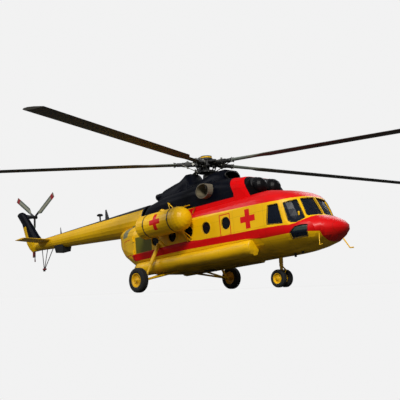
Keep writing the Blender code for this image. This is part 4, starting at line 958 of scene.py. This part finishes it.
def add_turned(mesh, profile, seat, steps=32):
    """Spins (radius, height) points a full turn about the seat's Z axis."""
    outline = [mesh.verts.new(seat @ Vector((radius, 0, height))) for radius, height in profile]
    edges = [mesh.edges.new(pair) for pair in zip(outline, outline[1:])]
    axis = seat.to_3x3() @ Vector((0, 0, 1))
    bmesh.ops.spin(
        mesh,
        geom=outline + edges,
        cent=seat.to_translation(),
        axis=axis,
        angle=2 * pi,
        steps=steps,
        use_merge=True,
    )


def add_rod(mesh, start, end, radius, sides=12):
    start, end = Vector(start), Vector(end)
    middle = pointing((start + end) / 2, end - start)
    bmesh.ops.create_cone(
        mesh,
        cap_ends=True,
        segments=sides,
        radius1=radius,
        radius2=radius,
        depth=(end - start).length,
        matrix=middle,
    )


def add_block(mesh, seat, size, edge=0.0, segments=2):
    """A box of the given size in the seat's frame, with rounded edges."""
    scale = Matrix.Diagonal((*size, 1))
    made = bmesh.ops.create_cube(mesh, size=1, matrix=seat @ scale)
    if edge:
        edges = {e for v in made["verts"] for e in v.link_edges}
        bmesh.ops.bevel(
            mesh,
            geom=list(edges),
            offset=edge,
            offset_type="OFFSET",
            segments=segments,
            profile=0.5,
            affect="EDGES",
            material=-1,
        )


def wire(name, points, radius, body, finish, closed=False, smooth=True):
    """A round bead or tube through the points."""
    curve = bpy.data.curves.new(name, "CURVE")
    curve.dimensions = "3D"
    curve.bevel_depth = radius
    curve.bevel_resolution = WIRE_ROUNDING
    curve.use_fill_caps = not closed
    line = curve.splines.new("NURBS" if smooth else "POLY")
    line.points.add(len(points) - 1)
    for point, where in zip(line.points, points):
        point.co = (*where, 1)
    line.use_cyclic_u = closed
    if smooth:
        line.order_u = 3
        line.use_endpoint_u = not closed
        line.resolution_u = 2
    return show(bpy.data.objects.new(name, curve), body, finish)


def skin_of(*names):
    """The nodes' surfaces, ready to be asked where a line meets them."""
    mesh = bmesh.new()
    for name in names:
        mesh.from_mesh(nodes[name].data)
    tree = BVHTree.FromBMesh(mesh)
    mesh.free()
    return tree


def touch(skin, spot, way, reach=0.5):
    """Where a line from outside, against the way out, meets the skin, and the normal there."""
    way = Vector(way).normalized()
    where, normal, _, _ = skin.ray_cast(spot + way * reach, -way, 2 * reach)
    return where, normal


NOSE_SKIN = skin_of("cockpit_shell", "nose_cone")
CABIN_SKIN = skin_of("cabin_shell")
DOOR_SKIN = skin_of("sliding_door")
print("faces of the cabin to touch:", len(nodes["cabin_shell"].data.polygons))

# %% [markdown]
# Each cockpit window is held by a black rubber bead all round, inside the gold frame. The
# bead is a closed curve. Its points are found by shining a line onto the nose just outside
# the pane's corners, so it follows the curved skin exactly.

# %% Cockpit window beads
# Per pane: its corners on the port side, and the way out, as x and y
PANES = {
    "rear": (
        [(3.88, 1.22, 1.49), (4.18, 1.14, 1.50), (4.29, 1.13, 0.91), (3.79, 1.23, 0.95)],
        (0.15, 1.0),
    ),
    "slide": (
        [(4.34, 1.05, 1.50), (4.61, 0.74, 1.57), (4.88, 0.79, 0.99)]
        + [(4.68, 0.97, 0.88), (4.55, 1.04, 0.90), (4.46, 1.05, 0.96)],
        (0.65, 0.76),
    ),
    "front": (
        [(4.66, 0.61, 1.59), (4.71, 0.05, 1.64), (5.00, 0.05, 1.11), (4.94, 0.67, 1.05)],
        (1.0, 0.2),
    ),
    "chin": (
        [(4.46, 0.95, 0.43), (4.47, 1.06, 0.60), (4.64, 1.02, 0.74)]
        + [(4.82, 0.95, 0.77), (4.98, 0.86, 0.76), (4.90, 0.79, 0.44)],
        (0.35, 0.94),
    ),
}
BEAD_MARGIN = 0.012
BEAD_RADIUS = 0.0075
BEAD_LIFT = 0.002


def body_way(x, y, z=0.0):
    return BODY_TURN.to_3x3() @ Vector((x, y, z))


def around(corners, step=0.05, margin=0.0):
    """Points round a closed outline, pushed out from its middle by the margin."""
    middle = sum(corners, Vector()) / len(corners)
    points = []
    for start, end in zip(corners, corners[1:] + corners[:1]):
        count = max(2, round((end - start).length / step))
        points += [start.lerp(end, k / count) for k in range(count)]
    return [p + (p - middle).normalized() * margin for p in points]


def window_beads():
    made = 0
    for side, title in ((1, "port"), (-1, "stbd")):
        for pane, (corners, way) in PANES.items():
            places = [on_body(x, side * y, z) for x, y, z in corners]
            out = body_way(way[0], side * way[1])
            hits = [touch(NOSE_SKIN, p, out) for p in around(places, margin=BEAD_MARGIN)]
            line = [where + normal * BEAD_LIFT for where, normal in hits if where]
            wire(f"bead_{pane}_{title}", line, BEAD_RADIUS, "airframe", RUBBER, closed=True)
            made += 1
    return made


print("window beads:", window_beads())

# %% [markdown]
# Each round window of the cabin has a thin metal rim with a rubber lip inside it. Both are
# closed curves of touch points, so they follow the skin. The window of the sliding door has
# the lip alone, and it rides on the door.

# %% Round window rings
WINDOW_XS = (2.13, 1.24, 0.40, -0.43, -1.34)
WINDOW_Z = 1.27
WINDOW_RADIUS = 0.19
DOOR_WINDOW_X = 2.815
CABIN_SKIN_Y = 1.3
# Columns: name, distance from the pane's edge, radius of the wire, finish
WINDOW_RINGS = [
    ("lip", 0.004, 0.004, RUBBER),
    ("rim", 0.026, 0.004, GOLD_FITTING),
]
DOOR_LIP = (0.008, 0.0055)


def circle_on(skin, centre, way, radius, count=28):
    """A circle of points laid on the skin round a centre given in body coordinates."""
    x, y, z = centre
    angles = [2 * pi * k / count for k in range(count)]
    hits = [touch(skin, on_body(x + radius * cos(a), y, z + radius * sin(a)), way) for a in angles]
    return [where for where, _ in hits if where]


def round_windows():
    made = 0
    for side, title in ((1, "port"), (-1, "stbd")):
        out = body_way(0, side)
        for number, x in enumerate(WINDOW_XS):
            centre = (x, side * CABIN_SKIN_Y, WINDOW_Z)
            for ring, margin, radius, finish in WINDOW_RINGS:
                points = circle_on(CABIN_SKIN, centre, out, WINDOW_RADIUS + margin)
                wire(f"window_{ring}_{title}_{number}", points, radius, "airframe", finish, closed=True)
                made += 1
    margin, radius = DOOR_LIP
    centre = (DOOR_WINDOW_X, CABIN_SKIN_Y, WINDOW_Z)
    lip = circle_on(DOOR_SKIN, centre, body_way(0, 1), WINDOW_RADIUS + margin)
    wire("door_window_lip", lip, radius, "sliding_door", RUBBER, closed=True)
    return made + 1


print("window rings:", round_windows())

# %% [markdown]
# The high tanks hang on the cabin's flanks. Each has two black clamping straps with a
# buckle, a filler cap on top, and a raised seam where its domed ends are welded on.

# %% High tank fittings
TANK_RADIUS = 0.405
TANK_FRONT, TANK_REAR = 0.57, -1.20
TANK_Y, TANK_Z = 1.75, 1.67
STRAP_XS = (0.39, -0.86)
FILLER_X = -0.24
FORWARD = body_way(1, 0)
# Ring sections, as (height over the tank's skin, place along it)
STRAP_SECTION = [(0.001, -0.022), (0.006, -0.020), (0.006, 0.020), (0.001, 0.022)]
STRAP_SECTION += [(-0.002, 0.0), (0.001, -0.022)]
WELD_SECTION = [(-0.003, -0.014), (0.004, -0.006), (0.004, 0.006), (-0.003, 0.014), (-0.003, -0.014)]
BUCKLE_SIZE, BUCKLE_LIFT = (0.05, 0.09, 0.022), 0.006
FILLER_PROFILE = [(0, 0.062), (0.06, 0.060), (0.082, 0.045), (0.085, 0.02), (0.13, 0.012)]
FILLER_PROFILE += [(0.14, 0.0), (0, 0)]
FILLER_SINK = 0.012
HANDLE_SIZE, HANDLE_Z = (0.11, 0.022, 0.018), 0.068
SMALL_EDGE = 0.004


def ring_tank(mesh, side, x, section):
    """A ring of the section round the tank at x."""
    profile = [(TANK_RADIUS + lift, along) for lift, along in section]
    add_turned(mesh, profile, pointing(on_body(x, side * TANK_Y, TANK_Z), FORWARD), steps=64)


def tank_fittings(side, title):
    straps = bmesh.new()
    for x in STRAP_XS:
        ring_tank(straps, side, x, STRAP_SECTION)
        out = on_body(x, side * (TANK_Y + TANK_RADIUS + BUCKLE_LIFT), TANK_Z)
        add_block(straps, pointing(out, body_way(0, side)), BUCKLE_SIZE, SMALL_EDGE)
    finished(f"tank_straps_{title}", straps, "airframe", BLACK_PAINT)
    seams = bmesh.new()
    for x in (TANK_FRONT, TANK_REAR):
        ring_tank(seams, side, x, WELD_SECTION)
    finished(f"tank_seams_{title}", seams, "airframe", GOLD_FITTING)
    cap = bmesh.new()
    top = on_body(FILLER_X, side * TANK_Y, TANK_Z + TANK_RADIUS - FILLER_SINK)
    seat = pointing(top, body_way(0, 0, 1))
    add_turned(cap, FILLER_PROFILE, seat)
    add_block(cap, seat @ Matrix.Translation((0, 0, HANDLE_Z)), HANDLE_SIZE, SMALL_EDGE)
    finished(f"tank_filler_{title}", cap, "airframe", GOLD_FITTING)


tank_fittings(1, "port")
tank_fittings(-1, "stbd")
print("tank filler height:", round(on_body(FILLER_X, -TANK_Y, TANK_Z + TANK_RADIUS).z, 3), "m")

# %% [markdown]
# The rotor head is the busiest place on the machine. On each of the five arms sit two hinge
# blocks with their pins, a damper lying beside them, two collars and two bolts that hold the
# blade, and a pitch arm with a thin link from below. The same set is built once per arm,
# turned by its azimuth, and joined by its metal in two pieces that spin with the head.

# %% Rotor head
HUB_Z = 3.755
HUB_SEAT = Matrix.Translation((0, 0, HUB_Z))
FIRST_AZIMUTH = -64.33
BLADE_FLAP = (-2.6, -0.3, -0.7, -4.5, 0.5)
# Columns: what it tilts with, middle, size, rounding, segments
HEAD_BLOCKS = [
    ("arm", (0.31, 0, 0), (0.18, 0.16, 0.19), 0.03, 3),
    ("blade", (0.66, 0, 0), (0.22, 0.15, 0.17), 0.03, 3),
    ("blade", (0.86, 0.12, -0.02), (0.10, 0.16, 0.06), 0.015, 2),
]
# Columns: metal, what it tilts with, start, end, radius, sides
HEAD_RODS = [
    ("steel", "arm", (0.31, 0, -0.135), (0.31, 0, 0.135), 0.042, 20),
    ("steel", "arm", (0.66, 0, -0.135), (0.66, 0, 0.135), 0.036, 20),
    ("steel", "arm", (0.46, -0.13, 0), (0.46, 0.13, 0), 0.045, 20),
    ("dark", "arm", (0.24, -0.16, 0.05), (0.56, -0.20, 0.03), 0.050, 20),
    ("steel", "arm", (0.56, -0.20, 0.03), (0.76, -0.16, 0.01), 0.020, 12),
    ("steel", "blade", (1.14, -0.055, -0.085), (1.14, -0.055, 0.085), 0.017, 10),
    ("steel", "blade", (1.14, 0.055, -0.085), (1.14, 0.055, 0.085), 0.017, 10),
    ("steel", "arm", (0.29, 0.13, -0.31), (0.84, 0.20, -0.03), 0.014, 10),
]
# Columns: radius, distance from the mast
COLLARS = [(0.078, 0.82), (0.076, 1.10)]
# Rings about the mast, as (radius, height over the hub's middle)
HUB_RING = [(0.20, 0.12), (0.225, 0.13), (0.225, 0.19), (0.20, 0.205), (0.20, 0.12)]
STAR_RING = [(0.12, -0.245), (0.30, -0.245), (0.325, -0.27), (0.325, -0.315), (0.30, -0.335)]
STAR_RING += [(0.12, -0.335)]
HEAD_CAP = [(0, 0.262), (0.10, 0.262), (0.185, 0.255), (0.205, 0.24), (0.205, 0.205), (0.0, 0.205)]
CAP_BOLTS, BOLT_CIRCLE = 10, 0.23
CAP_BOLT_Z, CAP_BOLT_RADIUS = (0.08, 0.105), 0.014


def dress_arm(metals, arm):
    turn = HUB_SEAT @ Matrix.Rotation(radians(FIRST_AZIMUTH + 72 * arm), 4, "Z")
    tilt = turn @ Matrix.Rotation(radians(-BLADE_FLAP[arm]), 4, "Y")
    seats = {"arm": turn, "blade": tilt}
    for rest, middle, size, edge, segments in HEAD_BLOCKS:
        add_block(metals["dark"], seats[rest] @ Matrix.Translation(middle), size, edge, segments)
    for metal, rest, start, end, radius, sides in HEAD_RODS:
        seat = seats[rest]
        add_rod(metals[metal], seat @ Vector(start), seat @ Vector(end), radius, sides)
    for radius, x in COLLARS:
        collar = pointing(tilt @ Vector((x, 0, 0)), tilt.to_3x3() @ Vector((1, 0, 0)))
        ring = [(0.05, -0.03), (radius, -0.028), (radius + 0.006, 0), (radius, 0.028), (0.05, 0.03)]
        add_turned(metals["dark"], ring, collar, 24)


def rotor_head():
    metals = {"dark": bmesh.new(), "steel": bmesh.new()}
    for arm in range(len(BLADE_FLAP)):
        dress_arm(metals, arm)
    for ring in (HUB_RING, STAR_RING):
        add_turned(metals["dark"], ring, HUB_SEAT, 40)
    for k in range(CAP_BOLTS):
        a = 2 * pi * k / CAP_BOLTS
        foot, head = [(BOLT_CIRCLE * cos(a), BOLT_CIRCLE * sin(a), HUB_Z + z) for z in CAP_BOLT_Z]
        add_rod(metals["steel"], foot, head, CAP_BOLT_RADIUS, sides=6)
    cap = bmesh.new()
    add_turned(cap, HEAD_CAP, HUB_SEAT, 40)
    finished("head_fittings", metals["dark"], "main_rotor", DARK_STEEL)
    finished("head_bolts", metals["steel"], "main_rotor", BARE_STEEL)
    finished("head_cap", cap, "main_rotor", GOLD_FITTING)


rotor_head()
print("rotor head height over the floor:", round(HUB_Z + HEAD_CAP[0][1] - FLOOR_Z, 2), "m")

# %% [markdown]
# The tyres carry the whole machine, so they are seen from close by. A tyre is one turned
# profile: a rounded tread with four grooves, a bulged wall and a bead. It takes the place
# of the plain tyre of the frame, and the wheel disc gets bolts, a hub cap and rim edges.

# %% Tyres and wheels
# Columns: name, axle on the port side, radius, half width, hub radius, body, tyre node
WHEELS = [
    ("main_wheel", (-1.17, 2.235, -0.215), 0.415, 0.125, 0.235, "main_wheel_{}", "main_{}_tyre"),
    ("nose_wheel", (3.15, 0.155, -0.35), 0.28, 0.0875, 0.16, "nose_wheels", "nose_{}_tyre"),
]
GROOVE_DEPTH = 0.008
WHEEL_BOLTS, BOLT_PLACE = 8, (0.52, 0.35)
BOLT_LENGTH, BOLT_RADIUS = 0.028, 0.012


def tyre_profile(radius, half, hub):
    """A tyre's section from the outer bead to the tread's middle, and mirrored beyond it."""
    outside = [
        (hub, half * 0.72),
        (hub + 0.012, half * 0.86),
        (hub + 0.35 * (radius - hub), half * 0.99),
        (hub + 0.62 * (radius - hub), half),
        (radius - 0.045, half * 0.93),
        (radius - 0.018, half * 0.80),
        (radius - 0.005, half * 0.62),
    ]
    tread = []
    for share in (0.46, 0.16):
        edge, width = half * share, half * 0.05
        low = radius - GROOVE_DEPTH
        tread += [(radius - 0.002, edge + width), (low, edge + width * 0.6)]
        tread += [(low, edge - width * 0.6), (radius - 0.001, edge - width)]
    top = outside + tread
    return top + [(r, -h) for r, h in reversed(top)] + [top[0]]


def wheel_dress(side, title, kind, axle, radius, half, hub, body, tyre_node):
    """A grooved tyre in place of the frame's, and a rim edge, a hub cap and bolts."""
    name, body = f"{kind}_{title}", body.format(title)
    seat = pointing((axle[0], side * axle[1], axle[2]), (0, side, 0))
    tyre = bmesh.new()
    add_turned(tyre, tyre_profile(radius, half, hub), seat, 72)
    tread = finished(f"{name}_tread", tyre, body, RUBBER, smooth=55)
    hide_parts(tyre_node.format(title))
    trim = bmesh.new()
    rim = [(hub - 0.012, 0.84), (hub + 0.004, 0.90), (hub - 0.004, 0.80), (hub - 0.012, 0.84)]
    cap = [(0, 0.95), (0.035, 0.94), (0.052, 0.82), (0.055, 0.5), (0, 0.5)]
    for profile, steps in ((rim, 64), (cap, 28)):
        add_turned(trim, [(r, half * share) for r, share in profile], seat, steps)
    circle, depth = BOLT_PLACE
    for k in range(WHEEL_BOLTS):
        a = 2 * pi * k / WHEEL_BOLTS
        spot = Vector((circle * hub * cos(a), circle * hub * sin(a), half * depth))
        add_rod(trim, seat @ spot, seat @ (spot + Vector((0, 0, BOLT_LENGTH))), BOLT_RADIUS, sides=6)
    finished(f"{name}_hub", trim, body, GOLD_FITTING)


for side, title in ((1, "port"), (-1, "stbd")):
    for row in WHEELS:
        wheel_dress(side, title, *row)
print("tyres:", 2 * len(WHEELS))

# %% [markdown]
# The frame's solids are made of flat facets. Where a part is round in life, a copy of it is
# shaded evenly over its shallow edges and takes the part's place. Its shape stays the same:
# loose triangles are merged, and those that lie in one plane are joined, because thin ones
# would leave dark dots in the smooth shading.

# %% Even shading
# Columns: node, body, finish, the sharpest edge in degrees that is still shaded over
EVEN_NODES = [
    ("nose_cone", "airframe", LIVERY, 28),
    ("cockpit_shell", "airframe", LIVERY, 28),
    ("low_tank_port", "airframe", LIVERY, 60),
    ("low_tank_stbd", "airframe", LIVERY, 60),
    ("engine_cowl", "airframe", COWL_LIVERY, 40),
]
FLAT_ANGLE = radians(0.5)


def even_copy(name, body, finish, angle):
    mesh = bmesh.new()
    mesh.from_mesh(nodes[name].data)
    bmesh.ops.remove_doubles(mesh, verts=mesh.verts, dist=MERGE_DISTANCE)
    bmesh.ops.dissolve_limit(mesh, angle_limit=FLAT_ANGLE, verts=mesh.verts, edges=mesh.edges)
    piece = finished(f"{name}_skin", mesh, body, finish, smooth=angle)
    even = piece.modifiers.new("even_shading", "WEIGHTED_NORMAL")
    even.keep_sharp = True
    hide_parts(name)


for row in EVEN_NODES:
    even_copy(*row)
print("evenly shaded:", len(EVEN_NODES))

# %% [markdown]
# Thin parts stand out from the body all over: a bent probe and a drain under the nose, the
# stays over the high tanks and the struts under them, and a post under the fin. A tube
# through a few places makes each.

# %% Probes and stays
# Columns: name, finish, radius, places in body coordinates
TUBES = [
    ("nose_probe", GOLD_FITTING, 0.020, [(5.69, -0.2, 0.25), (5.87, -0.2, -0.04), (5.99, -0.2, -0.05)]),
    ("nose_drain", GOLD_FITTING, 0.016, [(5.20, -0.65, 0.47), (5.17, -0.65, 0.14), (5.27, -0.65, 0.15)]),
    ("fin_post", BLACK_PAINT, 0.020, [(-11.43, -0.06, 2.50), (-11.43, -0.06, 1.92)]),
    ("fin_post_end", DULL_RED, 0.028, [(-11.43, -0.06, 1.97), (-11.43, -0.06, 1.85)]),
]
for side, title in ((1, "port"), (-1, "stbd")):
    peak = (-0.66, side * 1.1, 2.47)
    hose = [(0.78, side * 1.60, 1.93), (0.66, side * 1.09, 2.07), (0.52, side * 1.10, 1.88)]
    TUBES += [
        (f"stay_rear_{title}", GOLD_FITTING, 0.016, [peak, (0.37, side * 1.96, 2.01)]),
        (f"stay_front_{title}", GOLD_FITTING, 0.016, [peak, (-0.45, side * 1.04, 2.24)]),
        (f"stay_foot_{title}", GOLD_FITTING, 0.020, [(-0.66, side * 0.94, 2.42), peak]),
        (f"hose_{title}", GOLD_FITTING, 0.016, hose),
        (f"strut_front_{title}", GOLD_FITTING, 0.018, [(0.54, side * 1.23, 1.03), (0.56, side * 1.66, 1.29)]),
        (f"strut_rear_{title}", GOLD_FITTING, 0.018, [(0.33, side * 1.23, 0.95), (0.54, side * 1.66, 1.29)]),
    ]


def add_tube(name, finish, radius, places):
    wire(name, [on_body(*p) for p in places], radius, "airframe", finish, smooth=False)


for row in TUBES:
    add_tube(*row)
print("tubes:", len(TUBES))

# %% [markdown]
# Small boxes, two collars and a mushroom-shaped aerial finish the outside. A bevelled block
# is enough for a box, and the round ones are turned profiles.

# %% Aerials and small boxes
# Columns: name, finish, middle in body coordinates, size, rounding
BLOCKS = [
    ("belly_aerial_front", BLACK_PAINT, (4.28, -0.3, 0.08), (0.08, 0.03, 0.10), 0.008),
    ("belly_aerial_rear", BLACK_PAINT, (3.99, -0.3, 0.01), (0.08, 0.03, 0.12), 0.008),
    ("dome_bridge", BLACK_PAINT, (2.80, 0.0, 2.44), (0.26, 0.30, 0.30), 0.05),
    ("skid_foot", DULL_RED, (-10.73, 0.0, 1.42), (0.16, 0.13, 0.08), 0.02),
    ("window_knob", GOLD_FITTING, (4.69, -0.81, 1.14), (0.05, 0.05, 0.13), 0.02),
    # Two pale sheets behind the front panes paint the pale reflection low in the windscreen
    ("sun_blind_stbd", PAINTED_REFLECTION_WHITE, (4.80, -0.33, 1.16), (0.02, 0.24, 0.10), 0.004),
    ("sun_blind_port", PAINTED_REFLECTION_WHITE, (4.80, 0.33, 1.16), (0.02, 0.24, 0.10), 0.004),
    ("exhaust_rib_stbd", SOOT, (1.36, -1.14, 2.62), (0.04, 0.16, 0.16), 0.01),
    ("exhaust_rib_port", SOOT, (1.36, 1.14, 2.62), (0.04, 0.16, 0.16), 0.01),
]


def add_box(name, finish, middle, size, edge):
    mesh = bmesh.new()
    add_block(mesh, BODY_TURN @ Matrix.Translation(middle), size, edge)
    finished(name, mesh, "airframe", finish)


for row in BLOCKS:
    add_box(*row)
AERIAL_FOOT = (-6.2, 0, 2.80)
AERIAL_PROFILE = [(0, 0.36), (0.09, 0.35), (0.13, 0.31), (0.12, 0.27), (0.035, 0.25), (0.03, 0.0)]
AERIAL_PROFILE += [(0, 0.0)]
DOME_PLACE = (2.54, 0.33, 2.385)
COLLAR_PROFILE = [(0.225, 0.08), (0.225, 0.31), (0.285, 0.30), (0.30, 0.27), (0.30, 0.08)]
COLLAR_PROFILE += [(0.225, 0.08)]
aerial = bmesh.new()
add_turned(aerial, AERIAL_PROFILE, pointing(on_body(*AERIAL_FOOT), body_way(0, 0, 1)), 28)
finished("boom_aerial", aerial, "airframe", BLACK_PAINT)
collars = bmesh.new()
for side in (1, -1):
    x, y, z = DOME_PLACE
    add_turned(collars, COLLAR_PROFILE, pointing(on_body(x, side * y, z), FORWARD), 48)
finished("dome_collars", collars, "airframe", BLACK_PAINT)
print("boxes:", len(BLOCKS))

# %% [markdown]
# Air for the cooling fan comes in by an oval mouth over the intakes. It gets a black lip, a
# closed wire through points of an ellipse, and the fan's hub inside. The sliding door runs
# on two thin rails, wires through touch points on the cabin's skin.

# %% Fan mouth and door rails
MOUTH_X, MOUTH_Z = 1.475, 3.06
MOUTH_HALF = (0.355, 0.145)
LIP_POINTS, LIP_RADIUS = 36, 0.022
FAN_X = 1.16
FAN_PROFILE = [(0.0, 0.09), (0.05, 0.07), (0.055, 0.02), (0.132, 0.012), (0.132, 0.0), (0.0, 0.0)]
RAIL_X, RAIL_STEPS, RAIL_RADIUS = (1.56, 3.40), 12, 0.005
RAILS = {"door_rail_top": 1.93, "door_rail_low": 0.64}


def fan_mouth():
    across, high = MOUTH_HALF
    angles = [2 * pi * k / LIP_POINTS for k in range(LIP_POINTS)]
    ring = [on_body(MOUTH_X, across * cos(a), MOUTH_Z + high * sin(a)) for a in angles]
    wire("fan_lip", ring, LIP_RADIUS, "airframe", BLACK_PAINT, closed=True)
    face = bmesh.new()
    add_turned(face, FAN_PROFILE, pointing(on_body(FAN_X, 0, MOUTH_Z), body_way(1, 0)), 32)
    finished("fan_hub", face, "airframe", PALE_GREEN)


def laid(name, z):
    """A straight rail along the port skin, held to it by touch points."""
    start, end = RAIL_X
    xs = [start + (end - start) * k / RAIL_STEPS for k in range(RAIL_STEPS + 1)]
    hits = [touch(CABIN_SKIN, on_body(x, CABIN_SKIN_Y, z), body_way(0, 1)) for x in xs]
    wire(name, [where for where, _ in hits if where], RAIL_RADIUS, "airframe", BARE_STEEL)


fan_mouth()
for name, z in RAILS.items():
    laid(name, z)
print("rails:", len(RAILS))
